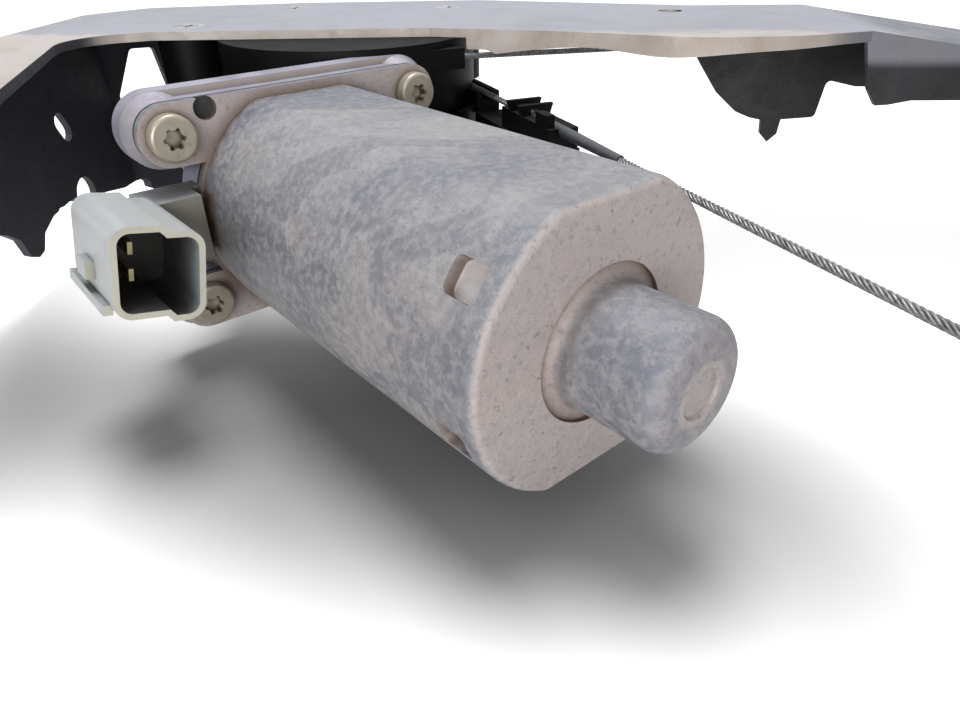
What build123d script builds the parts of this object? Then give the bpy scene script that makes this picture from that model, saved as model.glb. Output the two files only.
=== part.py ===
"""Electric window regulator of a car door: a cable drum driven through a worm gear by a
flat-sided motor, all hung under a pressed-steel bracket that also carries the guide rail.

Frame, in millimetres: the origin is on the drum axis, on the bracket's upper face. +Z points
away from the motor, and +Y runs along the guide rail towards the top of the window.
The motor lies at 45 degrees to the rail, in its own plane: x across it, y up, z to its free end.
"""

from build123d import *
import os
from math import acos, asin, atan2, cos, degrees, pi, radians, sin, sqrt, tan

os.makedirs("parts", exist_ok=True)

# ---- driving dimensions -------------------------------------------------------------------
sheet = 2.0  # bracket steel
running = 0.05  # radial clearance of a shaft in its bearing
gap = 0.3  # clearance between pieces that move past each other
seat = 0.02  # clearance between pieces of one body that lie on each other

can_radius, can_flat_half = 25.5, 23.3
can_start = 37.6  # mouth of the can, from the gear
can_length, can_wall = 87.4, 1.8
can_rim_radius, can_corner_radius = 1.3, 2.5
can_ring_radius, can_ring_depth = 13.0, 0.8
can_boss_radius, can_boss_length, can_boss_round, can_boss_root = 10.3, 17.3, 3.4, 2.2
can_dish_radius, can_dish_depth = 4.0, 0.5
crimp_angles = (-36.0, 22.0, 144.0, 202.0)
crimp_width, crimp_length, crimp_depth, crimp_setback = 5.6, 6.6, 2.6, 3.4

ear_half_width, ear_high, ear_low = 28.4, 19.1, -16.1
ear_radius, can_ear_radius = 7.4, 6.0
flange_thickness, can_flange_thickness, gasket_thickness = 7.6, 1.6, 0.8
flange_land = 3.0  # the casting's flange narrows to the can's over this much
can_screw_head_radius, can_screw_head_height, can_screw_radius = 4.5, 2.9, 2.4

module = 1.0
wheel_teeth = 61
worm_pitch_radius = 5.5
worm_turns = 8
tooth_thickness = 1.15  # at the pitch line, on both worm and wheel, which leaves the backlash
wheel_width = 7.0
motor_axis_depth = 30.0  # below the bracket's upper face
shaft_radius = 4.0

cable_radius = 0.75
drum_cable_radius = 29.7  # to the centre of the cable
cable_depth_near = 16.1
cable_depth_far = 5.4
drum_grooves = 5
drum_axle_radius = 5.0

drum_case_wall, drum_case_bottom = 2.0, 21.0
gear_case_wall, gear_cover_thickness = 2.6, 2.4
gear_case_floor, axle_boss_depth = 36.5, 43.5
fixing_circle_radius = 41.5
fixing_angles = (55.0, 125.6, 188.0)
fixing_boss_radius, fixing_screw_radius = 4.2, 2.5
fixing_head_radius, fixing_head_depth = 4.2, 1.6

rail_x = 232.0
rail_end_near, rail_end_far = 34.4, 34.0  # of rail beyond each pulley's axis
rail_crown_half, rail_height, rail_lip, rail_sheet = 17.5, 9.5, 5.0, 1.5
rail_top_depth = 10.5
pulley_room_near, pulley_room_far = 31.6, 30.0  # from the slider at its limit to a pulley's axis
pulley_cable_radius, pulley_rim, pulley_width = 12.0, 1.7, 6.2
pulley_axle_radius = 4.0
end_relief = 30.0  # stretch of rail beside a pulley with no side walls, where the cable leaves

slider_length, slider_y, slider_travel = 56.0, -136.0, 170.0
slider_wall = 4.0
mount_hole_radius = 3.3
rivet_radius = 3.0

# ---- places worked out from the driving dimensions ----------------------------------------
wheel_pitch_radius = module * wheel_teeth / 2
gear_centres = wheel_pitch_radius + worm_pitch_radius
diagonal = sqrt(0.5)
pulley_near_y = slider_y - slider_travel - slider_length / 2 - pulley_room_near
pulley_far_y = slider_y + slider_travel + slider_length / 2 + pulley_room_far
rail_near_y, rail_far_y = pulley_near_y - rail_end_near, pulley_far_y + rail_end_far
rivet_places = ((rail_x, -11.0), (rail_x, 9.0))
fixing_points = [
    (fixing_circle_radius * cos(radians(angle)), fixing_circle_radius * sin(radians(angle)))
    for angle in fixing_angles
]
foot = (-gear_centres * diagonal, -gear_centres * diagonal, -motor_axis_depth)
motor = Plane(origin=foot, x_dir=(1, 1, 0), z_dir=(1, -1, 0))
can_end = can_start + can_length
case_front = can_start - gasket_thickness
flange_back = case_front - flange_thickness
worm_pitch = pi * module


def motor_to_frame(x, y, z):
    """A point of the motor's plane, given in the object's frame."""
    return Vector(foot[0] + (x + z) * diagonal, foot[1] + (x - z) * diagonal, foot[2] + y)


def finish(piece, label):
    """Names a finished piece and writes it."""
    piece.part.label = label
    export_step(piece.part, f"parts/{label}.step")


# ---- bracket ------------------------------------------------------------------------------
arm_tip, arm_tip_radius = (-54.0, -112.0), 18.0
joggle_start, joggle_end = 128.0, 184.0
seat_depth = rail_top_depth - sheet
seat_near_y, seat_far_y = -20.5, 20.5
lip_depth, wall_depth, tab_y = 6.0, 61.0, 33.0
near_edge = [(-64.0, -26.0), (-46.0, -17.0), (-8.0, -14.6), (24.0, -12.2)]
lip_edge = [(33.5, -14.0), (47.0, -16.5), (66.0, -22.0), (87.0, -30.0), (110.0, -28.0), (128.0, -21.0)]
far_edge = [(128.0, tab_y), (95.0, tab_y), (31.6, 52.3), (-27.0, 47.6)]
left_wall = [(10.0, 50.5), (-27.0, 47.6), (-72.7, 36.5), (-84.5, 19.3), (-81.6, -24.2), (-78.0, -70.0)]
near_corner_round, lip_corner_round, wall_corner_round = 15.0, 25.0, 7.0


def wall_plane(start, end):
    """Upright plane through two points: x along them, y up."""
    along = Vector(end[0] - start[0], end[1] - start[1], 0).normalized()
    return Plane(origin=(start[0], start[1], 0), x_dir=along, z_dir=(along.Y, -along.X, 0))


def plate_outline():
    """The bracket's flat face, without the arm's round end."""
    with BuildSketch(mode=Mode.PRIVATE) as outline:
        with BuildLine():
            Polyline(
                (-37.0, -92.0), *near_edge, *lip_edge, *far_edge,
                *left_wall[2:5], (-78.0, -70.0), (-72.0, -112.0), (-37.0, -110.0), close=True,
            )
        make_face()
        for corners, radius in (
            (near_edge[:1], near_corner_round), (lip_edge[1:-1], lip_corner_round),
            (left_wall[2:5], wall_corner_round),
        ):
            for corner in corners:
                fillet(outline.vertices().sort_by_distance(corner)[0], radius)
    return outline.sketch


def edge_wall(region):
    """Section of the sheet turned down along the plate's edge, inside a region."""
    with BuildSketch(mode=Mode.PRIVATE) as band:
        add(plate_outline())
        offset(amount=-sheet, mode=Mode.SUBTRACT)
        with BuildSketch(mode=Mode.PRIVATE) as kept:
            with BuildLine():
                Polyline(*region, close=True)
            make_face()
        add(kept.sketch, mode=Mode.INTERSECT)
    return band.sketch


def wall_cut(start, end, corners, round_radius):
    """A cutter through the wall between two points; its corners are given along the wall and up."""
    with BuildPart(mode=Mode.PRIVATE) as cutter:
        with BuildSketch(wall_plane(start, end)):
            with BuildLine():
                Polyline(*corners, close=True)
            shape = make_face()
            fillet([v for v in shape.vertices() if v.Y > -wall_depth], round_radius)
        extrude(amount=4 * sheet, both=True)
    return cutter.part


with BuildPart() as bracket:
    with BuildSketch(Plane.XY.offset(-sheet)):
        add(plate_outline())
        with Locations(arm_tip):
            Circle(arm_tip_radius)
    extrude(amount=sheet)
    # the joggle down to the rail, and the seat riveted to the rail's crown
    with BuildSketch(Plane.XZ.offset(-tab_y - 10)):
        with BuildLine():
            Polyline(
                (joggle_start - 1, 0), (joggle_start, 0), (joggle_end, -seat_depth),
                (rail_x + 12, -seat_depth), (rail_x + 12, -seat_depth - sheet),
                (joggle_end - 0.8, -seat_depth - sheet), (joggle_start - 0.8, -sheet),
                (joggle_start - 1, -sheet), close=True,
            )
        make_face()
    extrude(amount=tab_y + 10 - seat_near_y)
    with BuildSketch(Plane.XY):
        with BuildLine():
            Polyline(
                (joggle_start - 2, tab_y), (145.0, tab_y - 1), (176.0, tab_y + 3),
                (198.0, seat_far_y + 6), (211.0, seat_far_y), (rail_x + 13, seat_far_y),
                (rail_x + 13, tab_y + 12), (joggle_start - 2, tab_y + 12), close=True,
            )
        make_face()
    extrude(amount=-20, mode=Mode.SUBTRACT)
    # turned-down lip along the middle of the near edge, its lower edge waved
    with BuildSketch(Plane.XY.offset(-lip_depth)):
        add(edge_wall([(33.5, 0), (128, -8), (128, -45), (33.5, -45)]))
    extrude(amount=lip_depth)
    with BuildSketch(Plane.XZ):
        with BuildLine():
            Spline(
                (41.0, -5.6), (47.0, -4.8), (66.0, -3.4), (79.0, -4.5), (89.0, -4.0), (110.0, -2.8),
                (129.0, -2.3),
            )
            Polyline((129.0, -2.3), (129.0, -8), (33.0, -8), (33.0, -4.7), (38.5, -4.7), (41.0, -5.6))
        make_face()
    extrude(amount=60, mode=Mode.SUBTRACT)
    # deep wall round the left end, then its lower outline and windows
    with BuildSketch(Plane.XY.offset(-wall_depth)):
        add(edge_wall([(10, 56), (10, 40), (-66, 26), (-70, -70), (-95, -70), (-95, 56)]))
    extrude(amount=wall_depth)
    below = -wall_depth - 1
    for start, end, round_radius, corners in (
        (1, 0, 2.0, [(-1, -40), (36, -6), (44, -6), (44, below), (-1, below)]),
        (1, 2, 2.0, [(-9, -32), (10, -60), (10, below), (-9, below)]),
        (3, 2, 2.0, [(-2, -50.5), (20, below), (-2, below)]),
        (3, 4, 2.0, [(-3, -50.5), (9, -50), (30, -45.4), (48, -43), (48, below), (-3, below)]),
        (4, 5, 1.2, [(-6, -43), (6.5, -44.0), (12.6, -46.4), (15.4, -50.4), (18.4, -51.0), (21.4, -49.2),
                     (23.2, -44.2), (27.0, -41.4), (50, -30), (50, below), (-6, below)]),
        (2, 3, 1.6, [(0.6, -25.4), (3.0, -11), (11, -10.5), (19.0, -25.4)]),
    ):
        add(wall_cut(left_wall[start], left_wall[end], corners, round_radius), mode=Mode.SUBTRACT)
    with BuildSketch(wall_plane(left_wall[3], left_wall[4])):
        with Locations((32.5, -24.8)):
            SlotOverall(8.6, 5.0, rotation=60)
        with Locations((31.4, -44.6)):
            Circle(5.2)
    extrude(amount=5, both=True, mode=Mode.SUBTRACT)
    # hanging wall on the far edge, with its locating tongue and the cable's slot
    with BuildSketch(Plane.XZ.offset(-tab_y)):
        with BuildLine():
            Polyline(
                (90, -0.5), (98, -12), (101.5, -17), (107, -24.5), (113.5, -30.0), (118, -31.8),
                (122.0, -32.6), (122.4, -36.8), (125.0, -39.4), (127.6, -36.8), (128.0, -32.4),
                (138.0, -31.6), (139.4, -20.6), (148.0, -22.5), (153.0, -22.5), (153.0, -4.0),
                (127.0, -0.5), close=True,
            )
        tab = make_face()
        fillet([v for v in tab.vertices() if v.Y < -16 and not 120 < v.X < 129], 1.5)
        fillet([v for v in tab.vertices() if 123 < v.X < 126], 2.0)
        with Locations((108.4, -9.8)):
            SlotOverall(12.0, 5.0, mode=Mode.SUBTRACT)
    extrude(amount=sheet)
    # wall on the near side of the joggle, facing along -Y
    wall_end = rail_x - rail_crown_half - rail_lip - slider_wall - 3
    with BuildSketch(Plane.XZ.offset(-seat_near_y)):
        with BuildLine():
            Polyline(
                (127.0, -0.5), (130.5, -13), (133.0, -16.6), (136.0, -16.4), (141.0, -15.4),
                (wall_end - 10, -15.0), (wall_end, -12.0), (wall_end, -seat_depth - 0.2),
                (joggle_end, -seat_depth - 0.2), (128.5, -0.5), close=True,
            )
        make_face()
    extrude(amount=-sheet)
    # holes: the motor's three screws, the rail's two rivets, and the holes that hold it in the door
    with BuildSketch(Plane.XY):
        with Locations(*fixing_points):
            Circle(fixing_screw_radius + 0.2)
        with Locations(arm_tip, (88.0, 20.0)):
            Circle(mount_hole_radius)
        with Locations(*rivet_places):
            Circle(rivet_radius + seat)
    extrude(amount=-20, mode=Mode.SUBTRACT)
    for x, y in fixing_points:
        with Locations((x, y, -fixing_head_depth / 2)):
            Cone(
                fixing_screw_radius + 2 * seat, fixing_head_radius + 2 * seat, fixing_head_depth,
                mode=Mode.SUBTRACT,
            )

finish(bracket, "bracket")

# ---- motor --------------------------------------------------------------------------------
motor_line = Axis(origin=foot, direction=(diagonal, -diagonal, 0))
ears = [(side * ear_half_width, height) for side in (-1, 1) for height in (ear_high, ear_low)]
cavity_radius, cavity_flat = can_radius - can_wall, can_flat_half - can_wall


def flat_sided(radius, half_height, blend=can_corner_radius):
    """A circle cut off above and below, its four corners rounded."""
    with BuildSketch(mode=Mode.PRIVATE) as section:
        Circle(radius)
        Rectangle(2 * radius, 2 * half_height, mode=Mode.INTERSECT)
        fillet(section.vertices(), blend)
    add(section.sketch)


def flange_outline(ear):
    """The can's flat-sided circle with a bar of two round ears across its top and its bottom."""
    flat_sided(can_radius + 0.6, can_flat_half)
    for height in (ear_high, ear_low):
        with BuildSketch(mode=Mode.PRIVATE) as bar:
            with Locations((-ear_half_width, height), (ear_half_width, height)):
                Circle(ear)
            make_hull()
        add(bar.sketch)


with BuildPart() as motor_can:
    with BuildSketch(motor.offset(can_start)):
        flat_sided(can_radius, can_flat_half)
    extrude(amount=can_length)
    fillet(motor_can.faces().sort_by(motor_line)[-1].edges(), can_rim_radius)
    with BuildSketch(motor.offset(can_end)):
        Circle(can_ring_radius)
    extrude(amount=-can_ring_depth, mode=Mode.SUBTRACT)
    with BuildSketch(motor.offset(can_end - can_ring_depth)):
        Circle(can_boss_radius)
    extrude(amount=can_boss_length + can_ring_depth)
    boss_circles = motor_can.edges().filter_by(GeomType.CIRCLE).filter_by(
        lambda edge: abs(edge.radius - can_boss_radius) < 0.01)
    fillet(boss_circles.sort_by(motor_line)[0], can_boss_root)
    fillet(motor_can.faces().sort_by(motor_line)[-1].edges(), can_boss_round)
    with BuildSketch(motor.offset(can_end + can_boss_length)):
        Circle(can_dish_radius)
    extrude(amount=-can_dish_depth, taper=40, mode=Mode.SUBTRACT)
    with BuildSketch(motor.offset(can_start)):
        flange_outline(can_ear_radius)
    extrude(amount=can_flange_thickness)
    with BuildSketch(motor.offset(can_start)):
        flat_sided(cavity_radius, cavity_flat)
    extrude(amount=can_length - can_wall, mode=Mode.SUBTRACT)
    with BuildSketch(motor.offset(can_end - can_wall - 1)):
        Circle(can_boss_radius - can_wall)
    extrude(amount=can_boss_length - 0.5, mode=Mode.SUBTRACT)
    for angle in crimp_angles:
        side = Vector(cos(radians(angle)), sin(radians(angle)))
        centre = side * (can_radius - crimp_depth)
        pocket = Plane(
            origin=motor_to_frame(centre.X, centre.Y, can_end - crimp_setback - crimp_length / 2),
            x_dir=motor.z_dir, z_dir=motor.x_dir * side.X + motor.y_dir * side.Y,
        )
        with BuildSketch(pocket.offset(-1.0)):
            Rectangle(crimp_length + 2.4, crimp_width + 2.4)
        extrude(amount=crimp_depth)
        with BuildSketch(pocket):
            Rectangle(crimp_length, crimp_width)
            fillet(vertices(), 1.2)
        extrude(amount=crimp_depth + 2, mode=Mode.SUBTRACT)
    with BuildSketch(motor.offset(can_start)):
        with Locations(*ears):
            Circle(can_screw_radius + seat)
        with Locations((-20.6, 23.2)):
            Circle(2.3)
    extrude(amount=can_flange_thickness, mode=Mode.SUBTRACT)
    with BuildSketch(motor.offset(can_start)):
        with Locations((-34, 2.0)):
            Rectangle(15, 13.4)
    extrude(amount=can_flange_thickness, mode=Mode.SUBTRACT)

with BuildPart() as can_gasket:
    with BuildSketch(motor.offset(case_front)):
        flange_outline(can_ear_radius)
        Circle(22.2, mode=Mode.SUBTRACT)
        with Locations(*ears):
            Circle(can_screw_radius + 0.3, mode=Mode.SUBTRACT)
        with Locations((-32, 2.0)):
            Rectangle(24, 13.4, mode=Mode.SUBTRACT)
    extrude(amount=gasket_thickness)

with BuildPart() as can_screws:
    for x, y in ears:
        with BuildSketch(motor.offset(can_start + can_flange_thickness)):
            with Locations((x, y)):
                Circle(can_screw_head_radius)
        extrude(amount=can_screw_head_height)
        with BuildSketch(motor.offset(can_start + can_flange_thickness)):
            with Locations((x, y)):
                Circle(can_screw_radius)
        extrude(amount=-4.8)
    fillet(can_screws.faces().group_by(motor_line)[-1].edges(), 0.7)
    with BuildSketch(motor.offset(can_start + can_flange_thickness + can_screw_head_height)):
        for x, y in ears:
            with Locations((x, y)):
                Circle(1.7)
                with PolarLocations(1.7, 6):
                    Circle(0.5)
    extrude(amount=-1.8, mode=Mode.SUBTRACT)

magnet_reach = 50.0
brush_room, tail_room, core_inset = 22.4, 17.0, 2.0
magnet_start, magnet_end = can_start + brush_room, can_end - tail_room
with BuildPart() as magnets:
    with BuildSketch(motor.offset(magnet_start)):
        for side in (0.0, 180.0):
            with BuildLine():
                inner = CenterArc((0, 0), 20.3, side - magnet_reach, 2 * magnet_reach)
                outer = CenterArc((0, 0), cavity_radius - seat, side - magnet_reach, 2 * magnet_reach)
                Line(inner @ 0, outer @ 0)
                Line(inner @ 1, outer @ 1)
            make_face()
    extrude(amount=magnet_end - magnet_start)

core_radius = 19.4
core_start, core_end = magnet_start + core_inset, magnet_end - core_inset
with BuildPart() as armature_core:
    with BuildSketch(motor.offset(core_start)):
        Circle(core_radius)
        Circle(shaft_radius + seat, mode=Mode.SUBTRACT)
        with PolarLocations(15.5, 10):
            RectangleRounded(6.4, 3.0, 1.2, mode=Mode.SUBTRACT)
        with PolarLocations(core_radius, 10):
            Rectangle(3.0, 1.2, mode=Mode.SUBTRACT)
    extrude(amount=core_end - core_start)

with BuildPart() as armature_windings:
    for start, amount in ((core_start - seat, -8.0), (core_end + seat, 8.0)):
        with BuildSketch(motor.offset(start)):
            Circle(17.6)
            Circle(6.0, mode=Mode.SUBTRACT)
        extrude(amount=amount)
    fillet(armature_windings.edges().filter_by(GeomType.CIRCLE).sort_by(SortBy.RADIUS)[-4:], 2.4)

commutator_start, commutator_end, commutator_radius = 43.5, 53.5, 9.4
with BuildPart() as commutator:
    with BuildSketch(motor.offset(commutator_start)):
        Circle(commutator_radius)
        Circle(shaft_radius + seat, mode=Mode.SUBTRACT)
        with PolarLocations(commutator_radius, 10):
            Rectangle(1.4, 0.5, mode=Mode.SUBTRACT)
    extrude(amount=commutator_end - commutator_start)

worm_root = worm_pitch_radius - 1.25 * module
worm_tip = worm_pitch_radius + module
worm_half = worm_turns * worm_pitch / 2
shaft_tail, shaft_end = -21.0, can_end + 12.0
flank = tan(radians(20))
thread_line = motor.offset(-worm_half) * Helix(worm_pitch, 2 * worm_half, worm_root - 0.3)
with BuildPart() as armature_shaft:
    with BuildSketch(motor.offset(shaft_tail)):
        Circle(shaft_radius)
    extrude(amount=shaft_end - shaft_tail)
    with BuildSketch(motor.offset(-worm_half - worm_pitch)):
        Circle(worm_root)
    extrude(amount=2 * (worm_half + worm_pitch))
    with BuildSketch(Plane(origin=thread_line @ 0, x_dir=motor.x_dir, z_dir=thread_line % 0)):
        with BuildLine():
            root_half = tooth_thickness / 2 + (1.25 * module + 0.3) * flank
            tip_half = tooth_thickness / 2 - module * flank
            reach = worm_tip - worm_root + 0.3
            Polyline((0, -root_half), (reach, -tip_half), (reach, tip_half), (0, root_half), close=True)
        make_face()
    sweep(path=thread_line, is_frenet=True)


def ring(label, plane, inner, outer, length):
    """A plain ring standing on a plane, such as a bush or a washer."""
    with BuildPart() as made:
        with BuildSketch(plane):
            Circle(outer)
            Circle(inner, mode=Mode.SUBTRACT)
        extrude(amount=length)
    finish(made, label)


tunnel_bore = worm_tip + 0.6
tunnel_radius = tunnel_bore + gear_case_wall
tunnel_end = -25.0
bush_length = 6.0
ring("worm_tail_bush", motor.offset(shaft_tail + 0.2), shaft_radius + running,
     tunnel_bore - seat, bush_length - 1)
ring("worm_bush", motor.offset(18.0), shaft_radius + running, tunnel_bore - seat, bush_length)
ring("rear_bearing", motor.offset(can_end + 0.5), shaft_radius + running,
     can_boss_radius - can_wall - seat, bush_length)
ring("thrust_pad", motor.offset(shaft_tail - 2.4), 1.0, 3.6, 2.2)
for piece, label in (
    (motor_can, "motor_can"), (can_gasket, "can_gasket"), (can_screws, "can_screws"),
    (magnets, "magnets"), (armature_core, "armature_core"), (commutator, "commutator"),
    (armature_windings, "armature_windings"), (armature_shaft, "armature_shaft"),
):
    finish(piece, label)

# ---- brush card with its plug socket -------------------------------------------------------
socket_centre, socket_tilt = (-43.1, 4.0), -12.0
socket_back, socket_mouth, socket_floor, socket_wall = 43.0, 65.0, 47.0, 1.1
socket_round = 3.2
card_thickness = 1.6
socket_plane = Plane(
    origin=motor_to_frame(*socket_centre, 0), z_dir=motor.z_dir,
    x_dir=motor.x_dir * cos(radians(socket_tilt)) + motor.y_dir * sin(radians(socket_tilt)),
)
socket_outline = [
    (-7.7, 8.4), (0.6, 8.4), (1.7, 7.3), (7.6, 7.3), (7.6, -8.8), (2.0, -8.8), (0.9, -7.6), (-7.7, -7.6),
]
with BuildPart() as connector_housing:
    with BuildSketch(socket_plane.offset(socket_back)):
        with BuildLine():
            Polyline(*socket_outline, close=True)
        make_face()
        fillet([corner for corner in vertices() if abs(corner.X) > 5], socket_round)
    extrude(amount=socket_mouth - socket_back)
    with BuildSketch(socket_plane.offset(socket_floor)):
        with BuildLine():
            Polyline(*socket_outline, close=True)
        make_face()
        offset(amount=-socket_wall, kind=Kind.INTERSECTION)
        fillet([corner for corner in vertices() if abs(corner.X) > 5], socket_round - socket_wall)
    extrude(amount=socket_mouth - socket_floor, mode=Mode.SUBTRACT)
    # latch wedge and guide rib on the outer side
    with BuildSketch(socket_plane.offset(51.0)):
        with Locations((-8.2, -1.6)):
            Rectangle(2.2, 3.0)
    extrude(amount=5.0)
    with BuildSketch(socket_plane.offset(socket_back)):
        with Locations((-8.0, -6.2)):
            Rectangle(1.6, 1.8)
    extrude(amount=socket_mouth - socket_back - 2)
    # neck into the casting, and the card across the can's mouth
    with BuildSketch(motor.offset(can_start)):
        with Locations((-32.0, 2.0)):
            Rectangle(10.6, 13.0)
    extrude(amount=socket_back - can_start + 1)
    with BuildSketch(motor.offset(case_front - 3.0)):
        with Locations((-28.6, 2.0)):
            Rectangle(17.4, 13.0)
    extrude(amount=can_start - case_front + 3.0)
    with BuildSketch(motor.offset(case_front - card_thickness)):
        Circle(21.8)
        Circle(12.0, mode=Mode.SUBTRACT)
    extrude(amount=card_thickness)
    for side in (-1, 1):
        with BuildSketch(motor.offset(case_front)):
            with Locations((side * 16.0, 0)):
                Rectangle(7.0, 9.0)
                Rectangle(7.2, 5.2, mode=Mode.SUBTRACT)
        extrude(amount=commutator_end - 2 - case_front)

brush_tip = commutator_radius + 0.15
with BuildPart() as brushes:
    for side in (-1, 1):
        with BuildSketch(motor.offset(commutator_start + 1)):
            with Locations((side * (brush_tip + 4.5), 0)):
                Rectangle(9.0, 5.0)
        extrude(amount=6.0)

with BuildPart() as terminals:
    with BuildSketch(socket_plane.offset(socket_floor)):
        with Locations((-2.6, 2.6), (-2.6, -2.2)):
            Rectangle(0.8, 2.2)
    extrude(amount=11.0)
for piece, label in (
    (connector_housing, "connector_housing"), (brushes, "brushes"), (terminals, "terminals"),
):
    finish(piece, label)

# ---- worm wheel, its rubber damper and the hub that carries the drum -----------------------
wheel_tip = wheel_pitch_radius + module
wheel_root = wheel_pitch_radius - 1.25 * module
wheel_bottom = -motor_axis_depth - wheel_width / 2
hub_radius, damper_radius, hub_neck = 15.2, 22.2, 13.6
cover_top = -drum_case_bottom - seat
with BuildPart() as worm_wheel:
    with BuildSketch(Plane.XY.offset(wheel_bottom)):
        Circle(wheel_root)
        with BuildLine():
            half_root = tooth_thickness / 2 + 1.25 * module * flank
            half_tip = tooth_thickness / 2 - module * flank
            Polyline(
                (wheel_root - 0.5, -half_root), (wheel_tip, -half_tip), (wheel_tip, half_tip),
                (wheel_root - 0.5, half_root), close=True,
            )
        tooth = make_face(mode=Mode.PRIVATE)
        tooth_angle = 360 / wheel_teeth
        with PolarLocations(0, wheel_teeth, start_angle=225 + tooth_angle / 2):
            add(tooth)
        Circle(damper_radius + seat, mode=Mode.SUBTRACT)
    extrude(amount=wheel_width)

with BuildPart() as wheel_damper:
    with BuildSketch(Plane.XY.offset(wheel_bottom)):
        Circle(damper_radius)
        Circle(hub_radius + seat, mode=Mode.SUBTRACT)
        with PolarLocations(18.7, 6):
            Circle(1.6, mode=Mode.SUBTRACT)
    extrude(amount=wheel_width)

dog_top, web_bottom, web_top = -14.6, -17.6, -14.0
with BuildPart() as drive_hub:
    with BuildSketch(Plane.XY.offset(wheel_bottom)):
        Circle(hub_radius)
    extrude(amount=wheel_width)
    with BuildSketch(Plane.XY.offset(wheel_bottom + wheel_width)):
        Circle(hub_neck)
    extrude(amount=web_bottom - gap - wheel_bottom - wheel_width)
    with BuildSketch(Plane.XY.offset(web_bottom - gap)):
        with PolarLocations(10.4, 3):
            RectangleRounded(3.6, 8.0, 1.0)
    extrude(amount=dog_top - web_bottom + gap)
    with BuildSketch(Plane.XY.offset(wheel_bottom)):
        Circle(drum_axle_radius + running)
    extrude(amount=30, mode=Mode.SUBTRACT)

# ---- cable drum ----------------------------------------------------------------------------
drum_top, drum_bottom = -3.9, -19.6
drum_outer = drum_cable_radius + cable_radius + 0.75
groove_half = cable_radius + gap
groove_depths = [
    cable_depth_far + i * (cable_depth_near - cable_depth_far) / (drum_grooves - 1)
    for i in range(drum_grooves)
]
with BuildPart() as cable_drum:
    with BuildSketch(Plane.XZ):
        with Locations(((26.6 + drum_outer) / 2, (drum_top + drum_bottom) / 2)):
            Rectangle(drum_outer - 26.6, drum_top - drum_bottom)
        with Locations((17.0, (web_bottom + web_top) / 2)):
            Rectangle(20.0, web_top - web_bottom)
        with Locations((6.9, (web_bottom + drum_top) / 2)):
            Rectangle(3.6, drum_top - web_bottom)
        for depth in groove_depths:
            with Locations((drum_cable_radius, -depth)):
                Circle(groove_half, mode=Mode.SUBTRACT)
            with Locations((drum_cable_radius + 1.5, -depth)):
                Rectangle(3.0, 2 * groove_half, mode=Mode.SUBTRACT)
    revolve(axis=Axis.Z)
    with BuildSketch(Plane.XY.offset(web_top)):
        with PolarLocations(17.4, 6, start_angle=30):
            Rectangle(19.0, 1.6)
    extrude(amount=7.0)
    with BuildSketch(Plane.XY.offset(web_bottom)):
        with PolarLocations(10.4, 3):
            RectangleRounded(3.8, 8.2, 1.1)
    extrude(amount=web_top - web_bottom, mode=Mode.SUBTRACT)
    with BuildSketch(Plane.XY.offset(web_bottom)):
        Circle(drum_axle_radius + running)
    extrude(amount=20, mode=Mode.SUBTRACT)

with BuildPart() as cable_turns:
    for depth in groove_depths[1:-1]:
        with BuildSketch(Plane.XZ):
            with Locations((drum_cable_radius - gap + seat, -depth)):
                Circle(cable_radius)
        revolve(axis=Axis.Z)

with BuildPart() as drum_axle:
    with BuildSketch(Plane.XY.offset(-axle_boss_depth + 1.5)):
        Circle(drum_axle_radius)
    extrude(amount=axle_boss_depth - 1.5 + drum_top)
ring("axle_clip", Plane.XY.offset(drum_top + seat), 2.5, drum_axle_radius + 1.6, 0.35)
for piece, label in (
    (worm_wheel, "worm_wheel"), (wheel_damper, "wheel_damper"), (drive_hub, "drive_hub"),
    (cable_drum, "cable_drum"), (cable_turns, "cable_turns"), (drum_axle, "drum_axle"),
):
    finish(piece, label)

# ---- gear case -----------------------------------------------------------------------------
drum_case_inner = drum_outer + 2 * gap
drum_case_radius = drum_case_inner + drum_case_wall
chamber_radius = wheel_tip + 0.9
case_radius = chamber_radius + gear_case_wall
case_rim = cover_top - gear_cover_thickness
case_floor = -gear_case_floor
case_bottom = case_floor - 3.0
cover_edge = tunnel_radius + 0.5  # the cover stops here, beside the worm tunnel


def cover_outline(grow):
    """The bowl's circle, cut off along the worm tunnel."""
    with BuildSketch(mode=Mode.PRIVATE) as outline:
        Circle(case_radius + grow)
        with Locations(Location((0, 0), 45)):
            with Locations((-gear_centres + cover_edge - grow - 50, 0)):
                Rectangle(100, 100, mode=Mode.SUBTRACT)
    add(outline.sketch)


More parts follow.
